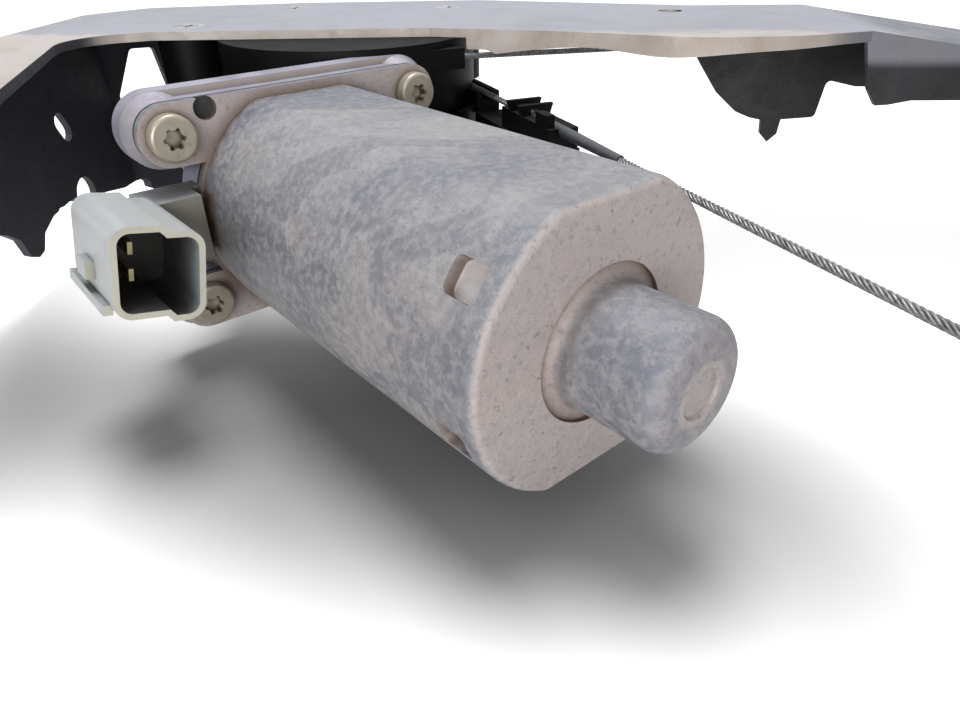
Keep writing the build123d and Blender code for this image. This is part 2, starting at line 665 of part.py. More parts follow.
with BuildPart() as gear_case:
    # bowl round the worm wheel
    with BuildSketch(Plane.XY.offset(case_bottom)):
        Circle(case_radius)
    extrude(amount=cover_top - case_bottom)
    fillet(gear_case.faces().sort_by(Axis.Z)[0].edges(), 1.6)
    # worm tunnel, and the thick flange that the can is screwed to
    with BuildSketch(motor.offset(tunnel_end)):
        Circle(tunnel_radius)
    extrude(amount=flange_back - tunnel_end + 1)
    with BuildSketch(motor.offset(flange_back)):
        flange_outline(ear_radius)
    extrude(amount=flange_thickness - flange_land)
    with BuildSketch(motor.offset(case_front - flange_land)):
        flange_outline(can_ear_radius)
    extrude(amount=flange_land)
    with BuildSketch(motor.offset(case_front - flange_land)):
        with Locations(*ears):
            Circle(ear_radius)
    extrude(amount=flange_land, taper=degrees(atan2(ear_radius - can_ear_radius, flange_land)))
    # web from the flange's left end to the tunnel
    with BuildSketch(Plane.XY.offset(-motor_axis_depth - 2)):
        with BuildLine():
            corners = ((-26, flange_back + 1), (-8, 0), (0, 0), (0, flange_back + 1))
            Polyline(*[tuple(motor_to_frame(x, 0, z))[:2] for x, z in corners], close=True)
        make_face()
    extrude(amount=4.0)
    # three posts up to the bracket, on arms from the bowl
    with BuildSketch(Plane.XY.offset(case_rim - 9.0)):
        for x, y in fixing_points:
            with BuildSketch(mode=Mode.PRIVATE) as arm:
                with Locations((x, y), (x * 0.7, y * 0.7)):
                    Circle(fixing_boss_radius)
                make_hull()
            add(arm.sketch)
    extrude(amount=9.0)
    with BuildSketch(Plane.XY.offset(case_rim - 9.0)):
        with Locations(*fixing_points):
            Circle(fixing_boss_radius)
    extrude(amount=-sheet - seat - case_rim + 9.0)
    # boss under the drum's axle, with ribs to the bowl's edge
    with BuildSketch(Plane.XY.offset(-axle_boss_depth)):
        Circle(9.0)
    extrude(amount=case_floor + axle_boss_depth)
    with BuildSketch(Plane.XY.offset(case_bottom - 1.8)):
        with PolarLocations(19.0, 8, start_angle=22.5):
            Rectangle(23.0, 2.0)
    extrude(amount=2.4)
    # hollows: the wheel's chamber, the seats of the cover and of the drum case, the worm's bore
    with BuildSketch(Plane.XY.offset(case_floor)):
        Circle(chamber_radius)
    extrude(amount=case_rim - case_floor, mode=Mode.SUBTRACT)
    with BuildSketch(Plane.XY.offset(case_rim - seat)):
        cover_outline(seat)
    extrude(amount=gear_cover_thickness + 2 * seat, mode=Mode.SUBTRACT)
    with BuildSketch(Plane.XY.offset(cover_top)):
        Circle(drum_case_radius + seat)
    extrude(amount=-cover_top, mode=Mode.SUBTRACT)
    with BuildSketch(motor.offset(tunnel_end + 1.6)):
        Circle(tunnel_bore)
    extrude(amount=case_front - tunnel_end, mode=Mode.SUBTRACT)
    with BuildSketch(motor.offset(case_front)):
        Circle(22.0)
    extrude(amount=-card_thickness - seat, mode=Mode.SUBTRACT)
    with BuildSketch(motor.offset(case_front)):
        with Locations((-28.6, 2.0)):
            Rectangle(17.4 + 2 * seat, 13.0 + 2 * seat)
    extrude(amount=-3.0 - seat, mode=Mode.SUBTRACT)
    with BuildSketch(motor.offset(case_front)):
        with Locations(*ears):
            Circle(can_screw_radius + seat)
    extrude(amount=can_flange_thickness + gasket_thickness - 4.8 - seat, mode=Mode.SUBTRACT)
    with BuildSketch(Plane.XY.offset(-axle_boss_depth + 1.5 - seat)):
        Circle(drum_axle_radius + seat)
    extrude(amount=10.0, mode=Mode.SUBTRACT)
    with BuildSketch(Plane.XY.offset(-sheet)):
        with Locations(*fixing_points):
            Circle(fixing_screw_radius + seat)
    extrude(amount=-12.0, mode=Mode.SUBTRACT)

with BuildPart() as gear_cover:
    with BuildSketch(Plane.XY.offset(case_rim)):
        cover_outline(0)
        Circle(hub_neck + gap, mode=Mode.SUBTRACT)
    extrude(amount=gear_cover_thickness)

with BuildPart() as fixing_screws:
    for x, y in fixing_points:
        with Locations((x, y, -fixing_head_depth / 2 - seat)):
            Cone(fixing_screw_radius, fixing_head_radius, fixing_head_depth)
        with BuildSketch(Plane(origin=(x, y, -seat))):
            Rectangle(0.9, 5.2)
            Rectangle(5.2, 0.9)
        extrude(amount=-0.9, mode=Mode.SUBTRACT)
    with BuildSketch(Plane.XY.offset(-fixing_head_depth - seat)):
        with Locations(*fixing_points):
            Circle(fixing_screw_radius)
    extrude(amount=-9.0)
for piece, label in (
    (gear_case, "gear_case"), (gear_cover, "gear_cover"), (fixing_screws, "fixing_screws"),
):
    finish(piece, label)

# ---- the cables' route ---------------------------------------------------------------------


def crossed_tangent(centre, radius, far_centre, far_radius, side):
    """Ends of the straight run from one round to another that crosses the line between them."""
    across = Vector(far_centre[0] - centre[0], far_centre[1] - centre[1])
    turn = atan2(across.Y, across.X) + side * acos((radius + far_radius) / across.length)
    out = Vector(cos(turn), sin(turn))
    return Vector(*centre) + out * radius, Vector(*far_centre) - out * far_radius, degrees(turn)


near_pulley, far_pulley = (rail_x, pulley_near_y), (rail_x, pulley_far_y)
near_leave, near_arrive, near_angle = crossed_tangent(
    (0, 0), drum_cable_radius, near_pulley, pulley_cable_radius, 1)
far_leave, far_arrive, far_angle = crossed_tangent(
    (0, 0), drum_cable_radius, far_pulley, pulley_cable_radius, -1)
drum_wrap = 290.0
run_x = rail_x + pulley_cable_radius
near_z, far_z = -cable_depth_near, -cable_depth_far
near_heading = (near_arrive - near_leave).normalized()
far_heading = (far_arrive - far_leave).normalized()
near_way = Plane(origin=(near_leave.X, near_leave.Y, near_z), x_dir=near_heading, z_dir=(0, 0, 1))
far_way = Plane(origin=(far_leave.X, far_leave.Y, far_z), x_dir=far_heading, z_dir=(0, 0, 1))
# the far run slopes down from the drum to its pulley, eased in and out by two long arcs
ease_radius = 120.0
far_run = (far_arrive - far_leave).length
far_drop = cable_depth_near - cable_depth_far
slope = asin(far_drop / far_run) * 1.02
for _ in range(20):
    ease = ease_radius * tan(slope / 2)
    slope = atan2(far_drop, far_run - 2 * ease)


def far_point(along, drop):
    """A point of the far run: its distance from the drum's tangent point, and its fall."""
    return far_way.from_local_coords((along, 0, -drop))


def cable_section(route):
    """The round section at the start of a route."""
    with BuildSketch(Plane(origin=route @ 0, z_dir=route % 0), mode=Mode.PRIVATE) as section:
        Circle(cable_radius)
    return section.sketch


with BuildPart() as near_cable:
    with BuildLine(Plane.XY.offset(near_z)) as near_route:
        CenterArc((0, 0), drum_cable_radius, near_angle + drum_wrap, -drum_wrap)
        Line((near_leave.X, near_leave.Y), (near_arrive.X, near_arrive.Y))
        CenterArc(near_pulley, pulley_cable_radius, near_angle + 180, 180 - near_angle)
        Line((run_x, pulley_near_y), (run_x, slider_y - seat))
    sweep(cable_section(near_route.line), path=near_route.line)

with BuildPart() as far_cable:
    with BuildLine() as far_route:
        with BuildLine(Plane.XY.offset(far_z)):
            CenterArc((0, 0), drum_cable_radius, far_angle - drum_wrap, drum_wrap)
        ease_chord, ease_sag = ease_radius * sin(slope), ease_radius * (1 - cos(slope))
        half_chord = ease_radius * sin(slope / 2)
        half_sag = ease_radius * (1 - cos(slope / 2))
        ThreePointArc(far_point(0, 0), far_point(half_chord, half_sag), far_point(ease_chord, ease_sag))
        Line(far_point(ease_chord, ease_sag), far_point(far_run - ease_chord, far_drop - ease_sag))
        ThreePointArc(
            far_point(far_run - ease_chord, far_drop - ease_sag),
            far_point(far_run - half_chord, far_drop - half_sag), far_point(far_run, far_drop),
        )
        with BuildLine(Plane.XY.offset(near_z)):
            CenterArc(far_pulley, pulley_cable_radius, far_angle + 180, -180 - far_angle)
            Line((run_x, pulley_far_y), (run_x, slider_y + seat))
    sweep(cable_section(far_route.line), path=far_route.line)
for piece, route, label in (
    (near_cable, near_route, "near_cable"), (far_cable, far_route, "far_cable"),
):
    length = sum(edge.length for edge in route.edges())
    print(label, "length", round(length, 1), "mm, volume", round(piece.part.volume, 1),
          "against section times length", round(pi * cable_radius**2 * length, 1))
    finish(piece, label)

# ---- drum case and cable guide -------------------------------------------------------------
case_slot = 1.6  # half width of the openings round a cable
spout_half, spout_end = 3.2, 26.8
post_sleeve_radius, skirt_wall, skirt_depth = 8.8, 1.6, 5.0
case_roof = 1.5
guide_start, guide_block, guide_end = 28.0, 44.0, 69.0
guide_bottom, guide_top, guide_half = -25.0, -15.4, 4.2
sleeve_radius = 1.25


def along_cable(way, start, end, half, low, high):
    """A block along a cable's run, between two heights."""
    with BuildPart(mode=Mode.PRIVATE) as block:
        with BuildSketch(way.offset(low - way.origin.Z)):
            with Locations(((start + end) / 2, 0)):
                Rectangle(end - start, 2 * half)
        extrude(amount=high - low)
    return block.part


with BuildPart() as drum_case:
    with BuildSketch(Plane.XY.offset(-drum_case_bottom)):
        Circle(drum_case_radius)
    extrude(amount=drum_case_bottom - sheet - 0.05)
    # sleeves round the gear case's three posts, and a short skirt over the bowl's edge by the spout
    sleeve_bottom = -motor_axis_depth + tunnel_radius + gap
    with BuildSketch(Plane.XY.offset(sleeve_bottom)):
        with Locations(*fixing_points):
            Circle(post_sleeve_radius)
    extrude(amount=-sheet - 0.05 - sleeve_bottom)
    with BuildSketch(Plane.XY.offset(-drum_case_bottom - skirt_depth)):
        Circle(case_radius + gap + skirt_wall)
        with BuildSketch(mode=Mode.PRIVATE) as sector:
            with BuildLine():
                Polyline((0, 0), (60, -34), (60, 44), close=True)
            make_face()
        add(sector.sketch, mode=Mode.INTERSECT)
        Circle(case_radius + gap, mode=Mode.SUBTRACT)
    extrude(amount=skirt_depth + 2.0)
    add(along_cable(near_way, 10.0, spout_end, spout_half, near_z - 4.6, near_z + 0.6))
    add(along_cable(far_way, 10.0, 19.5, 2.6, far_z - 3.2, far_z + 1.6))
    with BuildSketch(Plane.XY.offset(-drum_case_bottom)):
        Circle(drum_case_inner)
    extrude(amount=drum_case_bottom - sheet - 0.05 - case_roof, mode=Mode.SUBTRACT)
    with BuildSketch(Plane.XY.offset(-sheet)):
        Circle(drum_axle_radius + 5.0)
    extrude(amount=-5.0, mode=Mode.SUBTRACT)
    add(along_cable(near_way, 5.0, 60.0, case_slot, near_z - case_slot, near_z + case_slot),
        mode=Mode.SUBTRACT)
    with BuildSketch(Plane.XY.offset(-drum_case_bottom)):
        with Locations(*fixing_points):
            Circle(fixing_boss_radius + gap)
    extrude(amount=drum_case_bottom, mode=Mode.SUBTRACT)
    add(along_cable(far_way, 5.0, 60.0, 1.1, far_z - 2.4, far_z + 1.1), mode=Mode.SUBTRACT)

with BuildPart() as cable_guide:
    add(along_cable(near_way, guide_start, guide_end, guide_half, guide_bottom, near_z - 4.0))
    add(along_cable(near_way, guide_block, guide_end, guide_half - 0.6, guide_bottom, guide_top))
    for place, rise in ((48.0, 4.3), (54.0, 3.2)):
        with BuildSketch(Plane(
            origin=near_way.from_local_coords((place, 0, 0)), x_dir=(near_heading.Y, -near_heading.X, 0),
            z_dir=near_heading,
        )):
            with BuildLine():
                Polyline((-4.4, -3.0), (4.4, -3.0), (3.0, 1.2), (0.6, rise), (-0.6, rise), (-3.0, 1.2),
                         close=True)
            make_face()
        extrude(amount=1.4)
    add(along_cable(near_way, 62.5, 67.5, 1.1, near_z, near_z + 3.4).moved(
        Location(Vector(-near_heading.Y, near_heading.X) * -2.6)))
    with BuildSketch(Plane(origin=near_way.from_local_coords((guide_start, 0, 0)), z_dir=near_heading)):
        Circle(sleeve_radius + seat)
    extrude(amount=guide_end, mode=Mode.SUBTRACT)
    add(along_cable(near_way, guide_start, 80, sleeve_radius + seat, near_z, near_z + 2.0),
        mode=Mode.SUBTRACT)

with BuildPart() as cable_sleeve:
    sleeve_start, sleeve_full, sleeve_end = 49.0, 74.0, 92.0
    sideways = (near_heading.Y, -near_heading.X, 0)
    with BuildSketch(Plane(origin=near_way.origin, x_dir=near_heading, z_dir=sideways)):
        with BuildLine():
            Polyline(
                (sleeve_start, cable_radius + seat), (sleeve_start, sleeve_radius),
                (sleeve_full, sleeve_radius), (sleeve_end, cable_radius + 0.2),
                (sleeve_end, cable_radius + seat), close=True,
            )
        make_face()
    revolve(axis=Axis(near_way.origin, near_heading))
for piece, label in (
    (drum_case, "drum_case"), (cable_guide, "cable_guide"), (cable_sleeve, "cable_sleeve"),
):
    finish(piece, label)

# ---- guide rail ----------------------------------------------------------------------------
rail_top, rail_under = -rail_top_depth, -rail_top_depth - rail_sheet
rail_bottom = rail_top - rail_height
walls_near, walls_far = pulley_near_y + end_relief, pulley_far_y - end_relief
rail_mounts = ((rail_x, rail_near_y + 9.0), (rail_x, rail_far_y - 9.0))
axle_neck = 3.0

with BuildPart() as guide_rail:
    with BuildSketch(Plane.XY.offset(rail_under)):
        with Locations((rail_x, (rail_near_y + rail_far_y) / 2)):
            SlotOverall(rail_far_y - rail_near_y, 2 * rail_crown_half, rotation=90)
    extrude(amount=rail_sheet)
    with BuildSketch(Plane.XZ.offset(-walls_near)):
        for side in (-1, 1):
            with BuildLine() as hat_side:
                FilletPolyline(
                    (rail_x, rail_top - rail_sheet / 2),
                    (rail_x + side * (rail_crown_half - rail_sheet / 2), rail_top - rail_sheet / 2),
                    (rail_x + side * (rail_crown_half - rail_sheet / 2), rail_bottom + rail_sheet / 2),
                    (rail_x + side * (rail_crown_half + rail_lip), rail_bottom + rail_sheet / 2),
                    radius=1.0 + rail_sheet / 2,
                )
            trace(line_width=rail_sheet)
    extrude(amount=walls_near - walls_far)
    # the crown's square corners beyond the bends come off along the walled stretch
    with BuildSketch(Plane.XZ.offset(-walls_near)):
        for side in (-1, 1):
            with BuildLine():
                corner = rail_x + side * rail_crown_half
                bend = 1.0 + rail_sheet
                Line((corner, rail_top + 0.1), (corner, rail_top - bend))
                RadiusArc((corner, rail_top - bend), (corner - side * bend, rail_top), side * -bend)
                Polyline((corner - side * bend, rail_top), (corner - side * bend, rail_top + 0.1),
                         (corner, rail_top + 0.1))
            make_face()
    extrude(amount=walls_near - walls_far, mode=Mode.SUBTRACT)
    with BuildSketch(Plane.XY.offset(rail_top)):
        with Locations(*rail_mounts):
            Circle(mount_hole_radius)
        with Locations(near_pulley, far_pulley):
            Circle(axle_neck + seat)
        with Locations(*rivet_places):
            Circle(rivet_radius + seat)
    extrude(amount=-rail_sheet, mode=Mode.SUBTRACT)

with BuildPart() as rail_rivets:
    for low, high, radius in (
        (rail_under - seat - 1.0, rail_under - seat, 5.2),
        (rail_under - seat - 0.1, -seat_depth + seat + 0.1, rivet_radius),
        (-seat_depth + seat, -seat_depth + seat + 1.6, 5.6),
    ):
        with BuildSketch(Plane.XY.offset(low)):
            with Locations(*rivet_places):
                Circle(radius)
        extrude(amount=high - low)
    fillet(rail_rivets.faces().group_by(Axis.Z)[-1].edges(), 1.2)
for piece, label in ((guide_rail, "guide_rail"), (rail_rivets, "rail_rivets")):
    finish(piece, label)

# ---- pulleys -------------------------------------------------------------------------------
pulley_hub = 6.2


def pulley(centre, label):
    """A grooved plastic wheel with lightening holes, and the riveted pin it turns on."""
    half, groove = pulley_width / 2, cable_radius + gap
    floor = pulley_cable_radius - groove
    with BuildPart() as wheel:
        with BuildSketch(Plane(origin=(*centre, near_z), x_dir=(1, 0, 0), z_dir=(0, -1, 0))):
            with BuildLine():
                Polyline(
                    (pulley_axle_radius + running, half), (pulley_axle_radius + running, -half),
                    (pulley_hub, -half), (pulley_hub + 0.8, -half + 0.9),
                    (floor - 0.8, -half + 0.9), (floor + 0.2, -half),
                    (pulley_cable_radius + pulley_rim, -half),
                    (pulley_cable_radius + pulley_rim, -half + 0.7),
                    (pulley_cable_radius, -groove), (floor, -groove * 0.6),
                    (floor, groove * 0.6), (pulley_cable_radius, groove),
                    (pulley_cable_radius + pulley_rim, half - 0.7),
                    (pulley_cable_radius + pulley_rim, half),
                    (floor + 0.2, half), (floor - 0.8, half - 0.9),
                    (pulley_hub + 0.8, half - 0.9), (pulley_hub, half), close=True,
                )
            make_face()
        revolve(axis=Axis((*centre, 0), (0, 0, 1)))
        with BuildSketch(Plane(origin=(*centre, near_z - half))):
            with PolarLocations(8.4, 6):
                Circle(1.1)
        extrude(amount=pulley_width, mode=Mode.SUBTRACT)
    finish(wheel, label)
    with BuildPart() as pin:
        for low, high, radius in (
            (near_z - half - gap - 1.5, near_z - half - gap, 6.0),
            (near_z - half - gap - 0.1, rail_under - 0.7, pulley_axle_radius),
            (rail_under - 0.8, rail_under - seat, 5.4),
            (rail_under - 0.1, rail_top + 0.1, axle_neck),
            (rail_top + seat, rail_top + 1.4, 4.8),
        ):
            with BuildSketch(Plane(origin=(*centre, low))):
                Circle(radius)
            extrude(amount=high - low)
        fillet(pin.faces().sort_by(Axis.Z)[-1].edges(), 0.9)
        fillet(pin.faces().sort_by(Axis.Z)[0].edges(), 0.6)
    finish(pin, label + "_pin")


pulley(near_pulley, "near_pulley")
pulley(far_pulley, "far_pulley")

# ---- slider and glass carrier --------------------------------------------------------------
slider_place = (rail_x, slider_y)
slider_inside = rail_crown_half + rail_lip + gap
slider_outside = slider_inside + slider_wall
slider_floor = rail_bottom - gap
slider_under = slider_floor - 5.0
hook_under, hook_inside = rail_bottom + rail_sheet + gap, rail_crown_half + rail_sheet
block_top = rail_under - 1.4
cable_offset, cable_hole = run_x - rail_x, 1.1
carrier_sheet = 2.0
carrier_screw_radius = 2.0
carrier_screw_places = [(rail_x + x, slider_y + y) for x, y in ((-15.5, 0), (-2.5, 18), (-2.5, -18), (11, 0))]
glass_bolt_x = rail_x - 32.0
stop_length = 7.0

with BuildPart() as slider_body:
    with BuildSketch(Plane.XZ.offset(-slider_y - slider_length / 2)):
        with BuildLine():
            right_half = [
                (slider_outside, slider_under), (slider_outside, hook_under + 3.0),
                (hook_inside, hook_under + 3.0), (hook_inside, hook_under),
                (slider_inside, hook_under), (slider_inside, slider_floor),
                (cable_offset + 3.4, slider_floor), (cable_offset + 3.4, block_top),
                (cable_offset - 5.0, block_top), (cable_offset - 5.0, slider_floor),
                (4.0, slider_floor), (4.0, block_top), (-9.0, block_top), (-9.0, slider_floor),
                (-slider_inside, slider_floor), (-slider_inside, hook_under),
                (-hook_inside, hook_under), (-hook_inside, hook_under + 3.0),
                (-slider_outside, hook_under + 3.0), (-slider_outside, slider_under),
            ]
            Polyline(*[(rail_x + x, z) for x, z in right_half], close=True)
        make_face()
    extrude(amount=slider_length)
    with BuildSketch(Plane.XZ.offset(-slider_y - slider_length / 2)):
        with Locations((run_x, near_z)):
            Circle(cable_hole)
    extrude(amount=slider_length, mode=Mode.SUBTRACT)
    # pockets that lighten the base, and the screw holes
    with BuildSketch(Plane.XY.offset(slider_under)):
        with Locations((rail_x - 15.5, slider_y + 17), (rail_x - 15.5, slider_y - 17)):
            RectangleRounded(9, 14, 2)
        with Locations((rail_x + 19.5, slider_y + 17), (rail_x + 19.5, slider_y - 17)):
            RectangleRounded(5, 14, 2)
    extrude(amount=3.6, mode=Mode.SUBTRACT)
    with BuildSketch(Plane.XY.offset(slider_under)):
        with Locations(*carrier_screw_places):
            Circle(carrier_screw_radius + seat)
    extrude(amount=4.2, mode=Mode.SUBTRACT)

with BuildPart() as slide_pads:
    # thin low-friction strips between the slider's floor and the rail's lips
    with BuildSketch(Plane.XY.offset(slider_floor + seat)):
        for side in (-1, 1):
            with Locations((rail_x + side * (rail_crown_half + 2.0), slider_y)):
                RectangleRounded(5.0, slider_length - 8, 1.5)
    extrude(amount=gap - seat - 0.1)

with BuildPart() as cable_end_sleeves:
    for start, way in ((slider_length / 2 + seat, 1), (-slider_length / 2 - seat, -1)):
        with BuildSketch(Plane.XZ.offset(-slider_y - start)):
            with Locations((run_x, near_z)):
                Circle(2.6)
                Circle(cable_hole, mode=Mode.SUBTRACT)
        extrude(amount=-way * 9.0)
        with BuildSketch(Plane.XZ.offset(-slider_y - start)):
            with Locations((run_x, near_z)):
                Circle(3.0)
                Circle(cable_hole, mode=Mode.SUBTRACT)
        extrude(amount=-way * 1.6)

with BuildPart() as glass_carrier:
    with BuildSketch(Plane.XY.offset(slider_under - seat)):
        with Locations((rail_x - 6, slider_y)):
            RectangleRounded(72, 70, 8)
        with Locations((glass_bolt_x, slider_y)):
            Circle(mount_hole_radius, mode=Mode.SUBTRACT)
        with Locations((glass_bolt_x + 1, slider_y + 22), (glass_bolt_x + 1, slider_y - 22)):
            SlotOverall(14, 6, rotation=90, mode=Mode.SUBTRACT)
        with Locations(*carrier_screw_places):
            Circle(carrier_screw_radius + seat, mode=Mode.SUBTRACT)
    extrude(amount=-carrier_sheet)
    # the two long edges are turned up to stiffen the plate, clear of the slider
    with BuildSketch(Plane.XY.offset(slider_under - seat - carrier_sheet)):
        for side in (-1, 1):
            with Locations((rail_x - 6, slider_y + side * (35 - carrier_sheet / 2))):
                Rectangle(48, carrier_sheet)
    extrude(amount=carrier_sheet + 4.0)

with BuildPart() as carrier_screws:
    carrier_under = slider_under - seat - carrier_sheet
    with BuildSketch(Plane.XY.offset(carrier_under - seat)):
        with Locations(*carrier_screw_places):
            Circle(4.6)
    extrude(amount=-2.4)
    fillet(carrier_screws.faces().sort_by(Axis.Z)[0].edges(), 0.8)
    with BuildSketch(Plane.XY.offset(carrier_under - 0.1)):
        with Locations(*carrier_screw_places):
            Circle(carrier_screw_radius)
    extrude(amount=carrier_sheet + 4.0)
    with BuildSketch(Plane.XY.offset(carrier_under - 2.5)):
        with Locations(*carrier_screw_places):
            RegularPolygon(2.0, 6)
    extrude(amount=1.6, mode=Mode.SUBTRACT)

with BuildPart() as bump_stops:
    # rubber blocks under the crown that the slider meets at each end of its travel
    with BuildSketch(Plane.XY.offset(rail_under - seat)):
        for place in (
            slider_y - slider_travel - slider_length / 2 - 0.6 - stop_length / 2,
            slider_y + slider_travel + slider_length / 2 + 0.6 + stop_length / 2,
        ):
            with Locations((rail_x - 3.0, place)):
                RectangleRounded(12, stop_length, 2)
    extrude(amount=-6.6)
for piece, label in (
    (slider_body, "slider_body"), (slide_pads, "slide_pads"),
    (cable_end_sleeves, "cable_end_sleeves"), (glass_carrier, "glass_carrier"),
    (carrier_screws, "carrier_screws"), (bump_stops, "bump_stops"),
):
    finish(piece, label)
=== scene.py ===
import math

import bpy
import numpy as np
from mathutils import Matrix, Vector


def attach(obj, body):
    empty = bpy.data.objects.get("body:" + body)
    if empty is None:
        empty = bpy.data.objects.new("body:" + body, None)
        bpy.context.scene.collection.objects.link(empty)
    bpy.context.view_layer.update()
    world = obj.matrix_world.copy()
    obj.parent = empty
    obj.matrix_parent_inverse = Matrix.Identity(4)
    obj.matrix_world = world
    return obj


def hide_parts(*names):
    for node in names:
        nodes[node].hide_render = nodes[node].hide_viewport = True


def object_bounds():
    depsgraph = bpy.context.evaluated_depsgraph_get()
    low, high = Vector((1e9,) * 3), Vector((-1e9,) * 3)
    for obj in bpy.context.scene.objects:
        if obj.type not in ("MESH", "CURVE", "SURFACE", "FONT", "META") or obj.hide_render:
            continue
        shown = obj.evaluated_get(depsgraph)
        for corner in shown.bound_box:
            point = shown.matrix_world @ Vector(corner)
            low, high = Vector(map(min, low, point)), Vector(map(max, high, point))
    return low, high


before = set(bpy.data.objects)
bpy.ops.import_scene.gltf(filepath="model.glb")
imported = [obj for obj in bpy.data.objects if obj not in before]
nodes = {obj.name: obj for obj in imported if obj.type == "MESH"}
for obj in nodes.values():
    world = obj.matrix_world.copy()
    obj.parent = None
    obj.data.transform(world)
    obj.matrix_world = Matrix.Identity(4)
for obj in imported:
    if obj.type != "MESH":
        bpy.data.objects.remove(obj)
cad_box = [list(corner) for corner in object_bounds()]

# ---- drawn steel can of the motor ----------------------------------------------------------------
# Deep-drawn from zinc-plated sheet, with two flats, a rolled rim and a boss for the rear bearing.
# The plating has gone blue-grey where it rubbed, and road dust lies on the rest. The top is painted
# darker as shade; the recesses are rust-brown, partly as painted shade, and the upper pocket floors
# bright, partly as painted light.


def node(tree, kind, inputs=None, **settings):
    """Adds a node, sets its options, and fills or links its named inputs."""
    made = tree.nodes.new(kind)
    for name, value in settings.items():
        setattr(made, name, value)
    for name, value in (inputs or {}).items():
        if isinstance(value, bpy.types.NodeSocket):
            tree.links.new(value, made.inputs[name])
        else:
            made.inputs[name].default_value = value
    return made


def effect(name, takes, gives):
    """An empty shader group with its named inputs (kind, default) and outputs (kind)."""
    tree = bpy.data.node_groups.new(name, "ShaderNodeTree")
    for label, (kind, default) in takes.items():
        socket = tree.interface.new_socket(label, in_out="INPUT", socket_type=kind)
        if default is not None:
            socket.default_value = default
    for label, kind in gives.items():
        tree.interface.new_socket(label, in_out="OUTPUT", socket_type=kind)
    return tree, tree.nodes.new("NodeGroupInput").outputs, tree.nodes.new("NodeGroupOutput").inputs


NUMBER, PLACE = "NodeSocketFloat", "NodeSocketVector"


def math_node(tree, operation, a, b=0.0, c=0.0):
    """One arithmetic step."""
    return node(tree, "ShaderNodeMath", {0: a, 1: b, 2: c}, operation=operation).outputs[0]


def times(tree, a, b):
    """The product of two values, such as a mask and its strength."""
    return math_node(tree, "MULTIPLY", a, b)


def ramp(tree, value, gain, base):
    """value * gain + base."""
    return math_node(tree, "MULTIPLY_ADD", value, gain, base)


def soft_step(tree, value, low, high):
    """0 below low, 1 above high, and smooth between."""
    return node(tree, "ShaderNodeMapRange", {"Value": value, "From Min": low, "From Max": high},
                interpolation_type="SMOOTHSTEP").outputs[0]


def below(tree, value, low, high):
    """1 below low, 0 above high, and smooth between."""
    return math_node(tree, "SUBTRACT", 1.0, soft_step(tree, value, low, high))


def vector_node(tree, operation, a, b=(0.0, 0.0, 0.0)):
    """One step on vectors: the socket of its vector and the socket of its number."""
    made = node(tree, "ShaderNodeVectorMath", {0: a, 1: b}, operation=operation)
    return made.outputs[0], made.outputs[1]


def make_patches():
    """Soft-edged irregular patches: fractal noise cut between two levels."""
    tree, given, out = effect(
        "worn patches",
        {"Vector": (PLACE, None), "Scale": (NUMBER, 60.0), "Low": (NUMBER, 0.45), "High": (NUMBER, 0.6),
         "Detail": (NUMBER, 8.0), "Warp": (NUMBER, 0.4)},
        {"Mask": NUMBER},
    )
    noise = node(tree, "ShaderNodeTexNoise", {
        "Vector": given["Vector"], "Scale": given["Scale"], "Detail": given["Detail"],
        "Roughness": 0.62, "Distortion": given["Warp"]})
    tree.links.new(soft_step(tree, noise.outputs["Fac"], given["Low"], given["High"]), out["Mask"])
    return tree


def make_dust_and_shade_facing():
    """Faces that look along a direction, with a broken edge: where dust lies, and where shade is painted.
    """
    tree, given, out = effect(
        "dust and painted shade facing",
        {"Vector": (PLACE, None), "Direction": (PLACE, (0, 0, 1)), "Low": (NUMBER, 0.2),
         "High": (NUMBER, 0.8), "Scale": (NUMBER, 120.0), "Break": (NUMBER, 0.5)},
        {"Mask": NUMBER},
    )
    place = node(tree, "ShaderNodeTexCoord")
    facing = vector_node(tree, "DOT_PRODUCT", place.outputs["Normal"], given["Direction"])[1]
    noise = node(tree, "ShaderNodeTexNoise", {
        "Vector": given["Vector"], "Scale": given["Scale"], "Detail": 7.0, "Roughness": 0.65})
    shift = times(tree, math_node(tree, "SUBTRACT", noise.outputs["Fac"], 0.5), given["Break"])
    level = math_node(tree, "ADD", facing, shift)
    tree.links.new(soft_step(tree, level, given["Low"], given["High"]), out["Mask"])
    return tree


def make_grit():
    """Fine grit: small-scale noise as a height, and a mask of irregular dark pits and crumbs."""
    tree, given, out = effect(
        "fine grit",
        {"Vector": (PLACE, None), "Scale": (NUMBER, 1500.0), "Specks": (NUMBER, 0.12)},
        {"Height": NUMBER, "Mask": NUMBER},
    )
    grain = node(tree, "ShaderNodeTexNoise", {
        "Vector": given["Vector"], "Scale": given["Scale"], "Detail": 5.0, "Roughness": 0.75})
    crumbs = node(tree, "ShaderNodeTexNoise", {
        "Vector": given["Vector"], "Scale": times(tree, given["Scale"], 0.55),
        "Detail": 6.0, "Roughness": 0.8, "Distortion": 0.6})
    low = math_node(tree, "SUBTRACT", 0.68, given["Specks"])
    high = math_node(tree, "ADD", low, 0.16)
    tree.links.new(grain.outputs["Fac"], out["Height"])
    tree.links.new(soft_step(tree, crumbs.outputs["Fac"], low, high), out["Mask"])
    return tree


